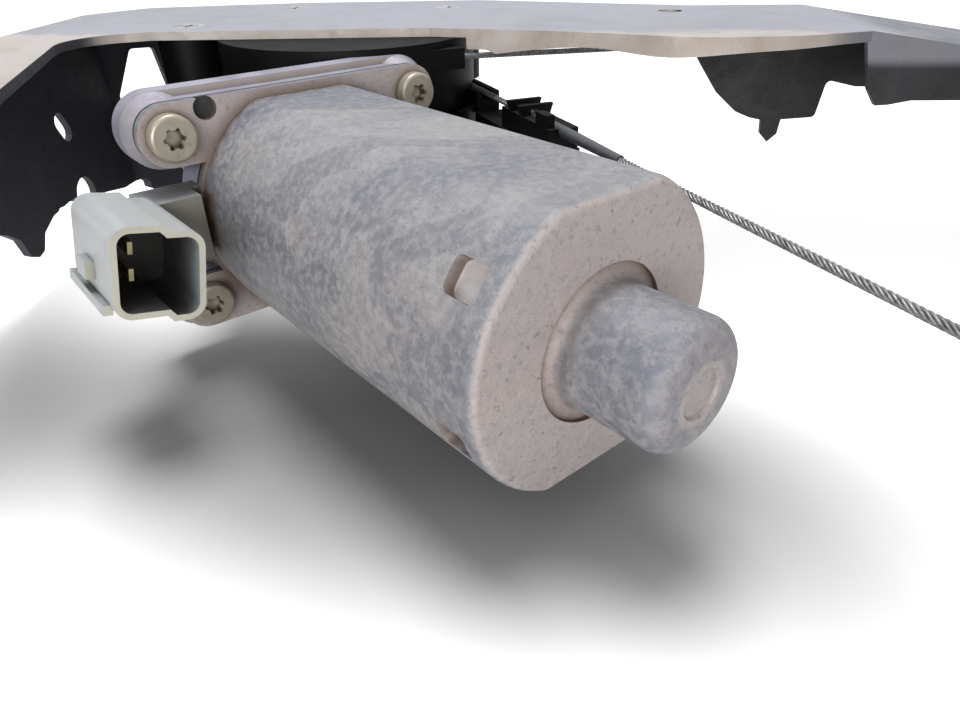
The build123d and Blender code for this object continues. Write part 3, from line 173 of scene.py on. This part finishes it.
def make_scratches():
    """Thin straight scratches: noise drawn out along one axis of its own turned place."""
    tree, given, out = effect(
        "scratches",
        {"Vector": (PLACE, None), "Turn": (PLACE, (0, 0, 0)), "Stretch": (PLACE, (20, 600, 600)),
         "Level": (NUMBER, 0.66)},
        {"Mask": NUMBER},
    )
    turned = node(tree, "ShaderNodeMapping", {
        "Vector": given["Vector"], "Rotation": given["Turn"], "Scale": given["Stretch"]})
    noise = node(tree, "ShaderNodeTexNoise", {"Vector": turned.outputs[0], "Scale": 1.0, "Detail": 3.0})
    upper = math_node(tree, "ADD", given["Level"], 0.05)
    tree.links.new(soft_step(tree, noise.outputs["Fac"], given["Level"], upper), out["Mask"])
    return tree


patches, dust_and_shade_facing, grit, scratches = make_patches(), make_dust_and_shade_facing(), make_grit(), make_scratches()


def use(tree, group, inputs):
    """Places an effect in a material."""
    placed = tree.nodes.new("ShaderNodeGroup")
    placed.node_tree = group
    for name, value in inputs.items():
        if isinstance(value, bpy.types.NodeSocket):
            tree.links.new(value, placed.inputs[name])
        else:
            placed.inputs[name].default_value = value
    return placed.outputs


def mix(tree, mask, under, over):
    """One colour laid over another by a mask."""
    made = node(tree, "ShaderNodeMix", {"Factor": mask}, data_type="RGBA")
    for socket, value in ((made.inputs[6], under), (made.inputs[7], over)):
        if isinstance(value, bpy.types.NodeSocket):
            tree.links.new(value, socket)
        else:
            socket.default_value = (*value, 1.0)
    return made.outputs[2]


def layer(tree, colour, mask, strength, over):
    """A colour with another laid over it by a mask, at the most as strong as the strength."""
    return mix(tree, times(tree, mask, strength), colour, over)


def crevice(tree, reach, low=0.35, high=0.85):
    """1 in corners and recesses narrower than the reach, in metres."""
    shut = node(tree, "ShaderNodeAmbientOcclusion", {"Distance": reach}, samples=8)
    return below(tree, shut.outputs["AO"], low, high)


def start(name, metallic, specular=0.5):
    """A new material with its shader and its object coordinates."""
    made = bpy.data.materials.new(name)
    made.use_nodes = True
    tree = made.node_tree
    tree.nodes.clear()
    shader = node(tree, "ShaderNodeBsdfPrincipled", {"Metallic": metallic, "Specular IOR Level": specular})
    node(tree, "ShaderNodeOutputMaterial", {"Surface": shader.outputs[0]})
    place = node(tree, "ShaderNodeTexCoord").outputs["Object"]
    return made, tree, shader, place


def join(tree, socket, value):
    """Links a value or sets it."""
    if isinstance(value, bpy.types.NodeSocket):
        tree.links.new(value, socket)
    else:
        socket.default_value = value


def relief(tree, shader, height, distance, strength=1.0):
    """A bump of the given depth, in metres."""
    bump = node(tree, "ShaderNodeBump", {"Height": height, "Distance": distance, "Strength": strength})
    tree.links.new(bump.outputs["Normal"], shader.inputs["Normal"])


def dress(material, *names):
    """Gives CAD nodes their finish."""
    for name in names:
        nodes[name].data.materials.clear()
        nodes[name].data.materials.append(material)


ALONG_MOTOR = (math.sqrt(0.5), -math.sqrt(0.5), 0.0)
MOTOR_TURN = math.pi / 4
motor_foot = Vector((-0.0255, -0.0255, -0.030))
can_face = 0.125
boss_start, cap_start, cap_patch_radius = can_face + 0.0035, can_face + 0.0160, 0.0046
pocket_radius, pocket_back, pocket_front = 0.02312, can_face - 0.0115, can_face - 0.0032
band_start = can_face - 0.0065
zinc_grey, zinc_blue, bright_zinc_and_light = (0.31, 0.305, 0.32), (0.155, 0.17, 0.215), (0.72, 0.69, 0.70)
rubbed, band_tone_and_shade, boss_tone = (0.15, 0.16, 0.195), (0.20, 0.21, 0.25), (0.18, 0.19, 0.23)
road_dust, face_dust, cap_dust = (0.46, 0.395, 0.37), (0.55, 0.48, 0.46), (0.52, 0.46, 0.44)
pale_dust, dark_grit = (0.55, 0.53, 0.53), (0.14, 0.13, 0.13)
bright_line, rust_and_painted_shade = (0.62, 0.61, 0.63), (0.15, 0.085, 0.05)

drawn_steel, tree, shader, place = start("drawn zinc-plated steel", 0.25)
from_foot = vector_node(tree, "SUBTRACT", place, motor_foot)[0]
along = vector_node(tree, "DOT_PRODUCT", from_foot, ALONG_MOTOR)[1]
around = vector_node(tree, "CROSS_PRODUCT", from_foot, ALONG_MOTOR)[0]
radial = vector_node(tree, "LENGTH", around)[1]
height = node(tree, "ShaderNodeSeparateXYZ", {0: place}).outputs["Z"]
worn = use(tree, patches, {
    "Vector": place, "Scale": 15.0, "Low": 0.41, "High": 0.63, "Detail": 5.0, "Warp": 1.2})["Mask"]
upward_painted_shade = use(tree, dust_and_shade_facing, {"Vector": place, "Direction": (-0.2, 0.2, 1), "Low": -0.35, "High": 0.85,
                             "Scale": 30.0, "Break": 1.6})["Mask"]
front = use(tree, dust_and_shade_facing, {"Vector": place, "Direction": ALONG_MOTOR, "Low": 0.25, "High": 0.95,
                            "Scale": 140.0, "Break": 0.9})["Mask"]
film = use(tree, patches, {
    "Vector": place, "Scale": 34.0, "Low": 0.40, "High": 0.68, "Detail": 6.0, "Warp": 0.9})["Mask"]
powder = use(tree, patches, {"Vector": place, "Scale": 620.0, "Low": 0.40, "High": 0.64})["Mask"]
specks = use(tree, grit, {"Vector": place, "Scale": 1900.0, "Specks": 0.16})
wiped = use(tree, scratches, {
    "Vector": place, "Turn": (0, 0, MOTOR_TURN), "Stretch": (12, 105, 105), "Level": 0.50})["Mask"]
lines = use(tree, scratches, {
    "Vector": place, "Turn": (0, 0, MOTOR_TURN + 0.2), "Stretch": (22, 900, 900), "Level": 0.72})["Mask"]
on_boss = soft_step(tree, along, boss_start, boss_start + 0.0025)
on_cap = soft_step(tree, along, cap_start, cap_start + 0.0012)
cap_patch = times(tree, on_cap, below(tree, radial, cap_patch_radius, cap_patch_radius + 0.0010))
by_pockets = times(tree, soft_step(tree, along, pocket_back, pocket_back + 0.0005),
                   below(tree, along, pocket_front, pocket_front + 0.0004))
pocket_floor = times(tree, below(tree, radial, pocket_radius, pocket_radius + 0.00016), by_pockets)
upper_pockets_painted_light = soft_step(tree, height, -0.034, -0.026)
# A darker blue band by the rim: partly the band's own tone, partly painted shade that hints its drawn-in
# form.
wander = ramp(tree, film, 0.0022, along)
drawn_band_and_shade = times(tree, soft_step(tree, wander, band_start, band_start + 0.0020),
                   below(tree, along, can_face - 0.002, can_face))
# Painted shade: the top of the can is darker, with stronger blue patches and thinner road dust upward.
colour = mix(tree, times(tree, worn, ramp(tree, upward_painted_shade, 0.55, 0.45)), zinc_grey, zinc_blue)
for mask, strength, over in (
    (film, ramp(tree, upward_painted_shade, -0.35, 0.55), road_dust),
    (wiped, 0.48, rubbed), (drawn_band_and_shade, 0.45, band_tone_and_shade), (on_boss, 0.65, boss_tone),
    (powder, 0.34, pale_dust), (front, ramp(tree, on_boss, -0.6, 0.8), face_dust),
    (cap_patch, 0.6, cap_dust), (specks["Mask"], 0.60, dark_grit), (lines, 0.25, bright_line),
    # Rust-brown in the recesses, found by the occlusion mask: partly rust, partly painted shade.
    (crevice(tree, 0.0045, 0.4, 0.92), 0.8, rust_and_painted_shade),
    # Bright bare zinc on the floors of the upper pockets only, partly painted light; the lower pocket keeps
    # its darker tone as painted shade.
    (times(tree, pocket_floor, upper_pockets_painted_light), 0.85, bright_zinc_and_light),
):
    colour = layer(tree, colour, mask, strength, over)
join(tree, shader.inputs["Base Color"], colour)
join(tree, shader.inputs["Roughness"], ramp(tree, powder, 0.25, 0.48))
relief(tree, shader, ramp(tree, film, 1.5, specks["Height"]), 0.00016, 0.7)
dress(drawn_steel, "motor_can")

# ---- pressed bracket, guide rail and glass carrier -----------------------------------------------
# Galvanised sheet, pressed and pierced. Its flat top is blue-grey; the cut edges and the turned
# lip have gone beige with dust and a little rust.
lip_depth, lip_inner, arm_start = 0.0055, -0.013, 0.114
# The wall tones and the step blue here are painted shade: walls near-black, lower steps a darker blue.
sheet_blue, step_blue_painted_shade, edge_rust = (0.33, 0.345, 0.41), (0.10, 0.112, 0.15), (0.34, 0.25, 0.18)
left_wall_painted_shade, right_wall_painted_shade = (0.05, 0.052, 0.062), (0.011, 0.011, 0.013)
stain_grey, warm_grey, bloom_grey = (0.22, 0.23, 0.27), (0.40, 0.375, 0.36), (0.56, 0.55, 0.56)
lip_pale, lip_brown, sheet_grit = (0.58, 0.53, 0.49), (0.44, 0.39, 0.345), (0.11, 0.095, 0.09)

galvanised, tree, shader, place = start("galvanised sheet", 0.3)
apart = node(tree, "ShaderNodeSeparateXYZ", {0: place})
sideways, inward, height = apart.outputs["X"], apart.outputs["Y"], apart.outputs["Z"]
faces_up = use(tree, dust_and_shade_facing, {
    "Vector": place, "Direction": (0, 0, 1), "Low": 0.3, "High": 0.9, "Scale": 90.0, "Break": 0.4})["Mask"]
outward = use(tree, dust_and_shade_facing, {"Vector": place, "Direction": (0, -1, 0.2), "Low": 0.3, "High": 0.85,
                              "Scale": 110.0, "Break": 0.7})["Mask"]
stain = use(tree, patches, {"Vector": place, "Scale": 30.0, "Low": 0.4, "High": 0.7, "Warp": 0.9})["Mask"]
blotch = use(tree, patches, {
    "Vector": place, "Scale": 75.0, "Low": 0.42, "High": 0.72, "Detail": 10.0})["Mask"]
powder = use(tree, patches, {"Vector": place, "Scale": 360.0, "Low": 0.4, "High": 0.74})["Mask"]
specks = use(tree, grit, {"Vector": place, "Scale": 1700.0, "Specks": 0.08})
near_top = soft_step(tree, height, -lip_depth - 0.003, -lip_depth)
on_arm = soft_step(tree, sideways, arm_start, arm_start + 0.012)
stepped = below(tree, height, -0.0022, -0.0003)
lip_dust = times(tree, times(tree, outward, near_top), ramp(tree, on_arm, -0.8, 1.0))
by_lip = below(tree, ramp(tree, blotch, 0.009, inward), lip_inner - 0.011, lip_inner)
by_lip = times(tree, times(tree, by_lip, faces_up), ramp(tree, on_arm, -0.8, 0.8))
dust_tone = mix(tree, blotch, lip_pale, lip_brown)
# Painted shade: the walls are near-black, a little lighter on the left; the lower stepped faces and the
# arm's upper wall are a darker blue.
wall_painted_shade = mix(tree, soft_step(tree, sideways, -0.05, 0.04), left_wall_painted_shade, right_wall_painted_shade)
wall_painted_shade = mix(tree, times(tree, on_arm, near_top), wall_painted_shade, step_blue_painted_shade)
colour = mix(tree, faces_up, wall_painted_shade, mix(tree, stepped, sheet_blue, step_blue_painted_shade))
for mask, strength, over in (
    (stain, ramp(tree, faces_up, 0.40, 0.05), stain_grey),
    (blotch, ramp(tree, faces_up, 0.37, 0.05), warm_grey),
    (powder, ramp(tree, faces_up, 0.27, 0.01), bloom_grey),
    (by_lip, 1.0, dust_tone), (lip_dust, 0.9, dust_tone),
    (times(tree, lip_dust, stain), 0.45, edge_rust),
    (specks["Mask"], 0.3, sheet_grit),
):
    colour = layer(tree, colour, mask, strength, over)
join(tree, shader.inputs["Base Color"], colour)
join(tree, shader.inputs["Roughness"], ramp(tree, powder, 0.2, 0.45))
relief(tree, shader, ramp(tree, blotch, 1.2, specks["Height"]), 0.00012, 0.6)
dress(galvanised, "bracket", "guide_rail", "glass_carrier")

# ---- die-cast gear case --------------------------------------------------------------------------
# Aluminium alloy, as it leaves the die: grainy, violet-grey on top, dusty in front.
alloy_light, alloy_dark, alloy_dust = (0.40, 0.39, 0.47), (0.26, 0.25, 0.31), (0.52, 0.46, 0.41)
alloy_shade, alloy_grit = (0.14, 0.12, 0.11), (0.12, 0.11, 0.12)
cast_alloy, tree, shader, place = start("cast alloy", 0.3)
stain = use(tree, patches, {"Vector": place, "Scale": 70.0, "Low": 0.38, "High": 0.66})["Mask"]
dusty = use(tree, dust_and_shade_facing, {"Vector": place, "Direction": ALONG_MOTOR, "Low": 0.2, "High": 0.9,
                            "Scale": 150.0, "Break": 0.8})["Mask"]
specks = use(tree, grit, {"Vector": place, "Scale": 1400.0, "Specks": 0.12})
colour = mix(tree, stain, alloy_light, alloy_dark)
colour = layer(tree, colour, dusty, 0.8, alloy_dust)
colour = layer(tree, colour, crevice(tree, 0.003), 0.6, alloy_shade)
colour = layer(tree, colour, specks["Mask"], 0.35, alloy_grit)
join(tree, shader.inputs["Base Color"], colour)
join(tree, shader.inputs["Roughness"], ramp(tree, stain, 0.15, 0.5))
relief(tree, shader, specks["Height"], 0.00018, 0.7)
dress(cast_alloy, "gear_case")

# ---- can screws ----------------------------------------------------------------------------------
# Star-socket screws with a yellow zinc finish, dulled by dust.
zinc_yellow, zinc_dull, socket_darkening = (0.47, 0.43, 0.345), (0.36, 0.315, 0.25), (0.09, 0.07, 0.05)
yellow_zinc, tree, shader, place = start("yellow zinc", 0.5)
stain = use(tree, patches, {"Vector": place, "Scale": 220.0, "Low": 0.4, "High": 0.65})["Mask"]
colour = mix(tree, stain, zinc_yellow, zinc_dull)
# Near-black in the sockets and tight corners, where the occlusion mask finds recesses.
colour = mix(tree, crevice(tree, 0.0015), colour, socket_darkening)
join(tree, shader.inputs["Base Color"], colour)
join(tree, shader.inputs["Roughness"], ramp(tree, stain, 0.2, 0.35))
dress(yellow_zinc, "can_screws")

# ---- rivets, fixing screws and pins --------------------------------------------------------------
# Plain zinc-plated steel, a little duller than when it was new.
plating_fresh, plating_dull = (0.46, 0.47, 0.50), (0.28, 0.27, 0.27)
plated, tree, shader, place = start("zinc-plated fasteners", 0.7)
stain = use(tree, patches, {"Vector": place, "Scale": 200.0, "Low": 0.35, "High": 0.7})["Mask"]
join(tree, shader.inputs["Base Color"], mix(tree, stain, plating_fresh, plating_dull))
join(tree, shader.inputs["Roughness"], ramp(tree, stain, 0.25, 0.32))
dress(plated, "rail_rivets", "fixing_screws", "carrier_screws", "near_pulley_pin", "far_pulley_pin")

# ---- plug socket with its brush card -------------------------------------------------------------
# One moulding in pale, slightly green plastic; its rim and front have yellowed.
plug_pale, plug_yellowed, plug_grime = (0.53, 0.55, 0.56), (0.62, 0.60, 0.51), (0.33, 0.31, 0.27)
plug_grit, plug_inside_painted_shade = (0.2, 0.17, 0.14), (0.008, 0.008, 0.009)
connector_plastic, tree, shader, place = start("pale plug plastic", 0.0)
rim = use(tree, dust_and_shade_facing, {"Vector": place, "Direction": ALONG_MOTOR, "Low": 0.3, "High": 0.9,
                          "Scale": 200.0, "Break": 0.4})["Mask"]
grime = use(tree, patches, {"Vector": place, "Scale": 150.0, "Low": 0.45, "High": 0.75})["Mask"]
specks = use(tree, grit, {"Vector": place, "Scale": 900.0, "Specks": 0.05})
# Painted shade: the deep recesses inside the socket are near-black.
inside_painted_shade = crevice(tree, 0.03, 0.12, 0.78)
colour = mix(tree, rim, plug_pale, plug_yellowed)
colour = layer(tree, colour, grime, 0.35, plug_grime)
colour = layer(tree, colour, specks["Mask"], 0.3, plug_grit)
colour = layer(tree, colour, inside_painted_shade, 0.96, plug_inside_painted_shade)
join(tree, shader.inputs["Base Color"], colour)
join(tree, shader.inputs["Roughness"], ramp(tree, grime, 0.2, 0.38))
relief(tree, shader, specks["Height"], 0.00004, 0.5)
dress(connector_plastic, "connector_housing")

# ---- black mouldings: drum case, cable guide, gear cover -----------------------------------------
# Glass-filled black plastic with a film of dust on what faces up.
moulding_black, moulding_dust = (0.003, 0.003, 0.0035), (0.03, 0.028, 0.026)
moulding_grit = (0.08, 0.07, 0.065)
black_plastic, tree, shader, place = start("black moulding", 0.0, 0.12)
film = use(tree, dust_and_shade_facing, {"Vector": place, "Direction": (0, -0.3, 1), "Low": 0.4, "High": 1.1,
                           "Scale": 180.0, "Break": 0.8})["Mask"]
specks = use(tree, grit, {"Vector": place, "Scale": 1000.0, "Specks": 0.08})
colour = mix(tree, times(tree, film, 0.2), moulding_black, moulding_dust)
colour = layer(tree, colour, specks["Mask"], 0.1, moulding_grit)
join(tree, shader.inputs["Base Color"], colour)
join(tree, shader.inputs["Roughness"], ramp(tree, film, 0.3, 0.4))
relief(tree, shader, specks["Height"], 0.00006, 0.5)
dress(black_plastic, "drum_case", "cable_guide", "gear_cover")

# ---- natural plastic: drum, worm wheel, pulleys, pads --------------------------------------------
# Off-white acetal, greasy and a little stained.
acetal_clean, acetal_greasy = (0.68, 0.65, 0.56), (0.42, 0.35, 0.22)
acetal, tree, shader, place = start("natural acetal", 0.0)
grease = use(tree, patches, {"Vector": place, "Scale": 90.0, "Low": 0.45, "High": 0.75})["Mask"]
colour = mix(tree, times(tree, grease, 0.5), acetal_clean, acetal_greasy)
join(tree, shader.inputs["Base Color"], colour)
join(tree, shader.inputs["Roughness"], ramp(tree, grease, -0.15, 0.42))
dress(acetal, "cable_drum", "worm_wheel", "near_pulley", "far_pulley", "thrust_pad", "slide_pads")

# ---- grey plastic: slider and cable sleeve -------------------------------------------------------
# Dark grey nylon with scuffs along the sliding direction.
nylon_grey, nylon_scuffed = (0.075, 0.08, 0.09), (0.24, 0.24, 0.25)
nylon, tree, shader, place = start("grey nylon", 0.0)
scuffs = use(tree, scratches, {"Vector": place, "Turn": (0, 0, math.pi / 2), "Stretch": (30, 700, 700),
                               "Level": 0.6})["Mask"]
specks = use(tree, grit, {"Vector": place, "Scale": 900.0, "Specks": 0.1})
colour = mix(tree, times(tree, scuffs, 0.4), nylon_grey, nylon_scuffed)
join(tree, shader.inputs["Base Color"], colour)
join(tree, shader.inputs["Roughness"], ramp(tree, scuffs, 0.2, 0.42))
relief(tree, shader, specks["Height"], 0.00005, 0.5)
dress(nylon, "slider_body", "cable_sleeve")

# ---- rubber: damper, bump stops, gasket ----------------------------------------------------------
# Moulded black rubber, dull with bloom.
rubber_black, rubber_bloom = (0.02, 0.02, 0.021), (0.06, 0.058, 0.055)
rubber, tree, shader, place = start("dull rubber", 0.0)
bloom = use(tree, patches, {"Vector": place, "Scale": 160.0, "Low": 0.4, "High": 0.75})["Mask"]
join(tree, shader.inputs["Base Color"], mix(tree, bloom, rubber_black, rubber_bloom))
join(tree, shader.inputs["Roughness"], ramp(tree, bloom, 0.15, 0.7))
dress(rubber, "wheel_damper", "bump_stops", "can_gasket")

# ---- metals inside the motor and on the drum -----------------------------------------------------
# Machined steel, sintered bronze, copper, stacked laminations, ferrite, carbon and tinned brass.


def plain_metal(name, fresh, aged, metallic, rough, scale):
    """A metal or mineral with two tones in patches and its own roughness."""
    made, tree, shader, place = start(name, metallic)
    tone = use(tree, patches, {"Vector": place, "Scale": scale, "Low": 0.35, "High": 0.7})["Mask"]
    join(tree, shader.inputs["Base Color"], mix(tree, tone, fresh, aged))
    join(tree, shader.inputs["Roughness"], ramp(tree, tone, 0.15, rough))
    return made


dress(plain_metal("machined steel", (0.5, 0.5, 0.52), (0.34, 0.33, 0.33), 0.85, 0.3, 120.0),
      "armature_shaft", "drive_hub", "drum_axle", "axle_clip", "cable_end_sleeves")
dress(plain_metal("sintered bronze", (0.45, 0.28, 0.12), (0.26, 0.15, 0.07), 0.7, 0.45, 300.0),
      "worm_bush", "worm_tail_bush", "rear_bearing")
dress(plain_metal("enamelled copper", (0.55, 0.20, 0.08), (0.34, 0.11, 0.05), 0.7, 0.3, 300.0),
      "armature_windings", "commutator")
dress(plain_metal("laminations", (0.16, 0.16, 0.17), (0.09, 0.085, 0.08), 0.6, 0.5, 400.0), "armature_core")
dress(plain_metal("ferrite", (0.035, 0.035, 0.04), (0.06, 0.055, 0.055), 0.0, 0.6, 400.0), "magnets")
dress(plain_metal("carbon", (0.02, 0.02, 0.02), (0.045, 0.043, 0.04), 0.1, 0.5, 500.0), "brushes")
dress(plain_metal("tinned brass", (0.60, 0.52, 0.30), (0.42, 0.35, 0.20), 0.8, 0.28, 300.0), "terminals")

# ---- the two cables ------------------------------------------------------------------------------
# Six strands of fine steel wire laid round each other, pulled tight from the drum, round a pulley
# and along the rail. Each strand's colour is that of bright wire with dark grease between.
cable_steel = plain_metal("cable steel", (0.33, 0.33, 0.34), (0.14, 0.14, 0.14), 0.55, 0.36, 900.0)
dress(cable_steel, "near_cable", "far_cable", "cable_turns")
cable_radius, strands, lay_length = 0.00075, 6, 0.0068
drum_radius, pulley_radius = 0.0297, 0.012
rail_line, near_height, far_height = 0.232, -0.0161, -0.0054
near_hub, far_hub = np.array([rail_line, -0.3656]), np.array([rail_line, 0.092])
cable_end, drum_wrap, ease_radius = -0.136, math.radians(290.0), 0.12
run_x = rail_line + pulley_radius


def crossed(hub, side):
    """Angle at which a tight cable leaves the drum for a hub it turns the other way round:
    the angle of the line of centres, plus or minus acos(sum of radii / distance)."""
    return math.atan2(hub[1], hub[0]) + side * math.acos((drum_radius + pulley_radius) / np.hypot(*hub))


def tangent_points(hub, angle):
    """Where the straight run leaves the drum and where it meets the hub."""
    out = np.array([math.cos(angle), math.sin(angle)])
    return drum_radius * out, hub - pulley_radius * out


def turned(centre, radius, start, sweep, step=0.0007):
    """Points on an arc: centre + radius (cos a, sin a), with a from start over the sweep."""
    a = start + sweep * np.linspace(0, 1, max(3, int(abs(sweep) * radius / step)))
    return np.stack([centre[0] + radius * np.cos(a), centre[1] + radius * np.sin(a)], 1)


def straight(start, end, step=0.0007):
    """Points on a line: start + t (end - start), with both ends left out."""
    t = np.linspace(0, 1, int(np.hypot(*(end - start)) / step))[1:-1, None]
    return start + t * (end - start)


def laid_strands(name, path):
    """Strands round a path P(s): P + r (cos q N + sin q B), q = 2 pi (s / lay + k / strands),
    each a tube of the radius that makes neighbours touch."""
    steps = np.gradient(path, axis=0)
    tangent = steps / np.linalg.norm(steps, axis=1, keepdims=True)
    run = np.concatenate([[0], np.cumsum(np.linalg.norm(np.diff(path, axis=0), axis=1))])
    side = np.cross([0.0, 0.0, 1.0], tangent)
    side /= np.linalg.norm(side, axis=1, keepdims=True)
    rise = np.cross(tangent, side)
    tube = cable_radius / 3
    q = 2 * np.pi * (run[None] / lay_length + np.arange(strands)[:, None] / strands)
    centre = path + 2 * tube * (np.cos(q)[..., None] * side + np.sin(q)[..., None] * rise)
    w = np.linspace(0, 2 * np.pi, 6, endpoint=False)
    ring = tube * 1.04 * (np.cos(w)[:, None, None] * side + np.sin(w)[:, None, None] * rise)
    points = centre[:, :, None] + ring.transpose(1, 0, 2)[None]
    count, corners = len(path), len(w)
    index = np.arange(strands * count * corners).reshape(strands, count, corners)
    shifted = np.roll(index, -1, axis=2)
    faces = np.stack([index[:, :-1], shifted[:, :-1], shifted[:, 1:], index[:, 1:]], -1).reshape(-1, 4)
    mesh = bpy.data.meshes.new(name)
    caps = [list(index[k, 0, ::-1]) for k in range(strands)] + [list(index[k, -1]) for k in range(strands)]
    mesh.from_pydata(points.reshape(-1, 3), [], faces.tolist() + caps)
    mesh.polygons.foreach_set("use_smooth", np.ones(len(mesh.polygons), bool))
    made = bpy.data.objects.new(name, mesh)
    bpy.context.scene.collection.objects.link(made)
    made.data.materials.append(cable_steel)
    return made


def level(points, height):
    """Lifts flat points to a height, or to one height each."""
    return np.column_stack([points, np.broadcast_to(height, len(points))])


leave = crossed(near_hub, 1)
out_from, out_to = tangent_points(near_hub, leave)
near_path = np.concatenate([
    turned((0, 0), drum_radius, leave + drum_wrap, -drum_wrap), straight(out_from, out_to),
    turned(near_hub, pulley_radius, leave + math.pi, math.pi - leave),
    straight(near_hub + (pulley_radius, 0), np.array([run_x, cable_end])),
])
near_strands = laid_strands("near_cable_strands", level(near_path, near_height))

leave = crossed(far_hub, -1)
out_from, out_to = tangent_points(far_hub, leave)
wound = turned((0, 0), drum_radius, leave - drum_wrap, drum_wrap)
crossing = straight(out_from, out_to)
distance = np.hypot(*(crossing - out_from).T)
whole, drop = np.hypot(*(out_to - out_from)), far_height - near_height
slope = math.atan2(drop, whole)
for _ in range(20):
    slope = math.atan2(drop, whole - 2 * ease_radius * math.tan(slope / 2))


def fall(x):
    """Drop of an arc of the ease radius that runs on as a straight slope."""
    bend = ease_radius * math.sin(slope)
    arc = ease_radius - np.sqrt(np.maximum(ease_radius**2 - np.minimum(x, bend) ** 2, 0))
    return arc + np.maximum(x - bend, 0) * math.tan(slope)


heights = np.where(distance < whole / 2, far_height - fall(distance),
                   near_height + fall(whole - distance))
rounded = turned(far_hub, pulley_radius, leave + math.pi, -math.pi - leave)
last = straight(far_hub + (pulley_radius, 0), np.array([run_x, cable_end]))
far_path = np.concatenate([
    level(wound, far_height), level(crossing, heights),
    level(rounded, near_height), level(last, near_height),
])
far_strands = laid_strands("far_cable_strands", far_path)
for made, cad_node in ((near_strands, "near_cable"), (far_strands, "far_cable")):
    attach(made, "frame")
    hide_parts(cad_node)

# ---- floor, light and camera ---------------------------------------------------------------------
# A pale floor just under the lowest piece, with a painted shadow in a pool beneath the motor: its
# colour is darker there, and it glows white to the camera only outside it. A bright even surround,
# a soft lamp overhead and a wide low one in front.
floor_size, floor_centre = 12.0, Vector((0.1, 0.0, cad_box[0][2] - 0.0002))
painted_shadow_grey, floor_pale = (0.28, 0.28, 0.28), (0.88, 0.88, 0.88)
painted_shadow_shift, painted_shadow_turn, painted_shadow_half = (0.051, 0.112, 0.0), math.radians(13.0), (0.105, 0.047)
bpy.ops.mesh.primitive_plane_add(size=floor_size, location=floor_centre)
floor = bpy.context.object
floor.name = "floor"
floor_white = bpy.data.materials.new("floor white")
floor_white.use_nodes = True
tree = floor_white.node_tree
tree.nodes.clear()
spot = node(tree, "ShaderNodeTexCoord").outputs["Object"]
in_painted_shadow = node(tree, "ShaderNodeMapping", {
    "Vector": spot, "Location": painted_shadow_shift, "Rotation": (0, 0, painted_shadow_turn)}).outputs[0]
shares = vector_node(tree, "MULTIPLY", in_painted_shadow, (1 / painted_shadow_half[0], 1 / painted_shadow_half[1], 0.0))[0]
spread = vector_node(tree, "LENGTH", shares)[1]
path = node(tree, "ShaderNodeLightPath")
# Painted shadow: outside the pool the floor glows white to the camera, inside it its colour darkens to
# grey.
glow_outside_painted_shadow = times(tree, soft_step(tree, spread, 0.55, 1.45), 0.80)
glow = node(tree, "ShaderNodeEmission", {
    "Color": (1, 1, 1, 1), "Strength": times(tree, path.outputs["Is Camera Ray"], glow_outside_painted_shadow)})
floor_with_painted_shadow = mix(tree, soft_step(tree, spread, 0.1, 1.2), painted_shadow_grey, floor_pale)
matt = node(tree, "ShaderNodeBsdfDiffuse", {"Color": floor_with_painted_shadow})
both = node(tree, "ShaderNodeAddShader", {0: matt.outputs[0], 1: glow.outputs[0]})
node(tree, "ShaderNodeOutputMaterial", {"Surface": both.outputs[0]})
floor.data.materials.append(floor_white)

scene = bpy.context.scene
scene.view_settings.view_transform = "Standard"
world = bpy.data.worlds.new("surround")
scene.world = world
world.use_nodes = True
tree = world.node_tree
tree.nodes.clear()
path = node(tree, "ShaderNodeLightPath")
seen = math_node(tree, "MAXIMUM", path.outputs["Is Camera Ray"], path.outputs["Is Glossy Ray"])
sky = node(tree, "ShaderNodeBackground", {
    "Color": (1, 1, 1, 1), "Strength": ramp(tree, seen, 0.80, 0.20)})
node(tree, "ShaderNodeOutputWorld", {"Surface": sky.outputs[0]})

lamp_aim = Vector((0.05, -0.08, -0.03))
for name, size, power, stand in (
    ("overhead", 0.42, 6.0, (-0.02, 0.10, 0.85)),
    ("front fill", 0.8, 9.0, (0.0, -1.1, 0.13)),
):
    lamp_data = bpy.data.lights.new(name, "AREA")
    lamp_data.shape, lamp_data.size, lamp_data.energy = "DISK", size, power
    lamp = bpy.data.objects.new(name, lamp_data)
    scene.collection.objects.link(lamp)
    lamp.location = stand
    lamp.rotation_euler = (lamp_aim - lamp.location).to_track_quat("-Z", "Y").to_euler()

camera_place = (0.0527, -0.205, 0.0247)
turn, lift, roll = math.radians(5.14), math.radians(32.41), math.radians(1.02)
camera_data = bpy.data.cameras.new("camera")
camera_data.lens, camera_data.sensor_width = 26.56, 36.0
camera_data.clip_start, camera_data.clip_end = 0.005, 50.0
camera = bpy.data.objects.new("camera", camera_data)
scene.collection.objects.link(camera)
scene.camera = camera
back = Vector((math.sin(turn) * math.cos(lift), -math.cos(turn) * math.cos(lift), math.sin(lift)))
right = Vector((math.cos(turn), math.sin(turn), 0.0))
up = back.cross(right)
across = math.cos(roll) * right - math.sin(roll) * up
upright = math.sin(roll) * right + math.cos(roll) * up
facing = Matrix((across, upright, back)).transposed().to_4x4()
camera.matrix_world = Matrix.Translation(camera_place) @ facing
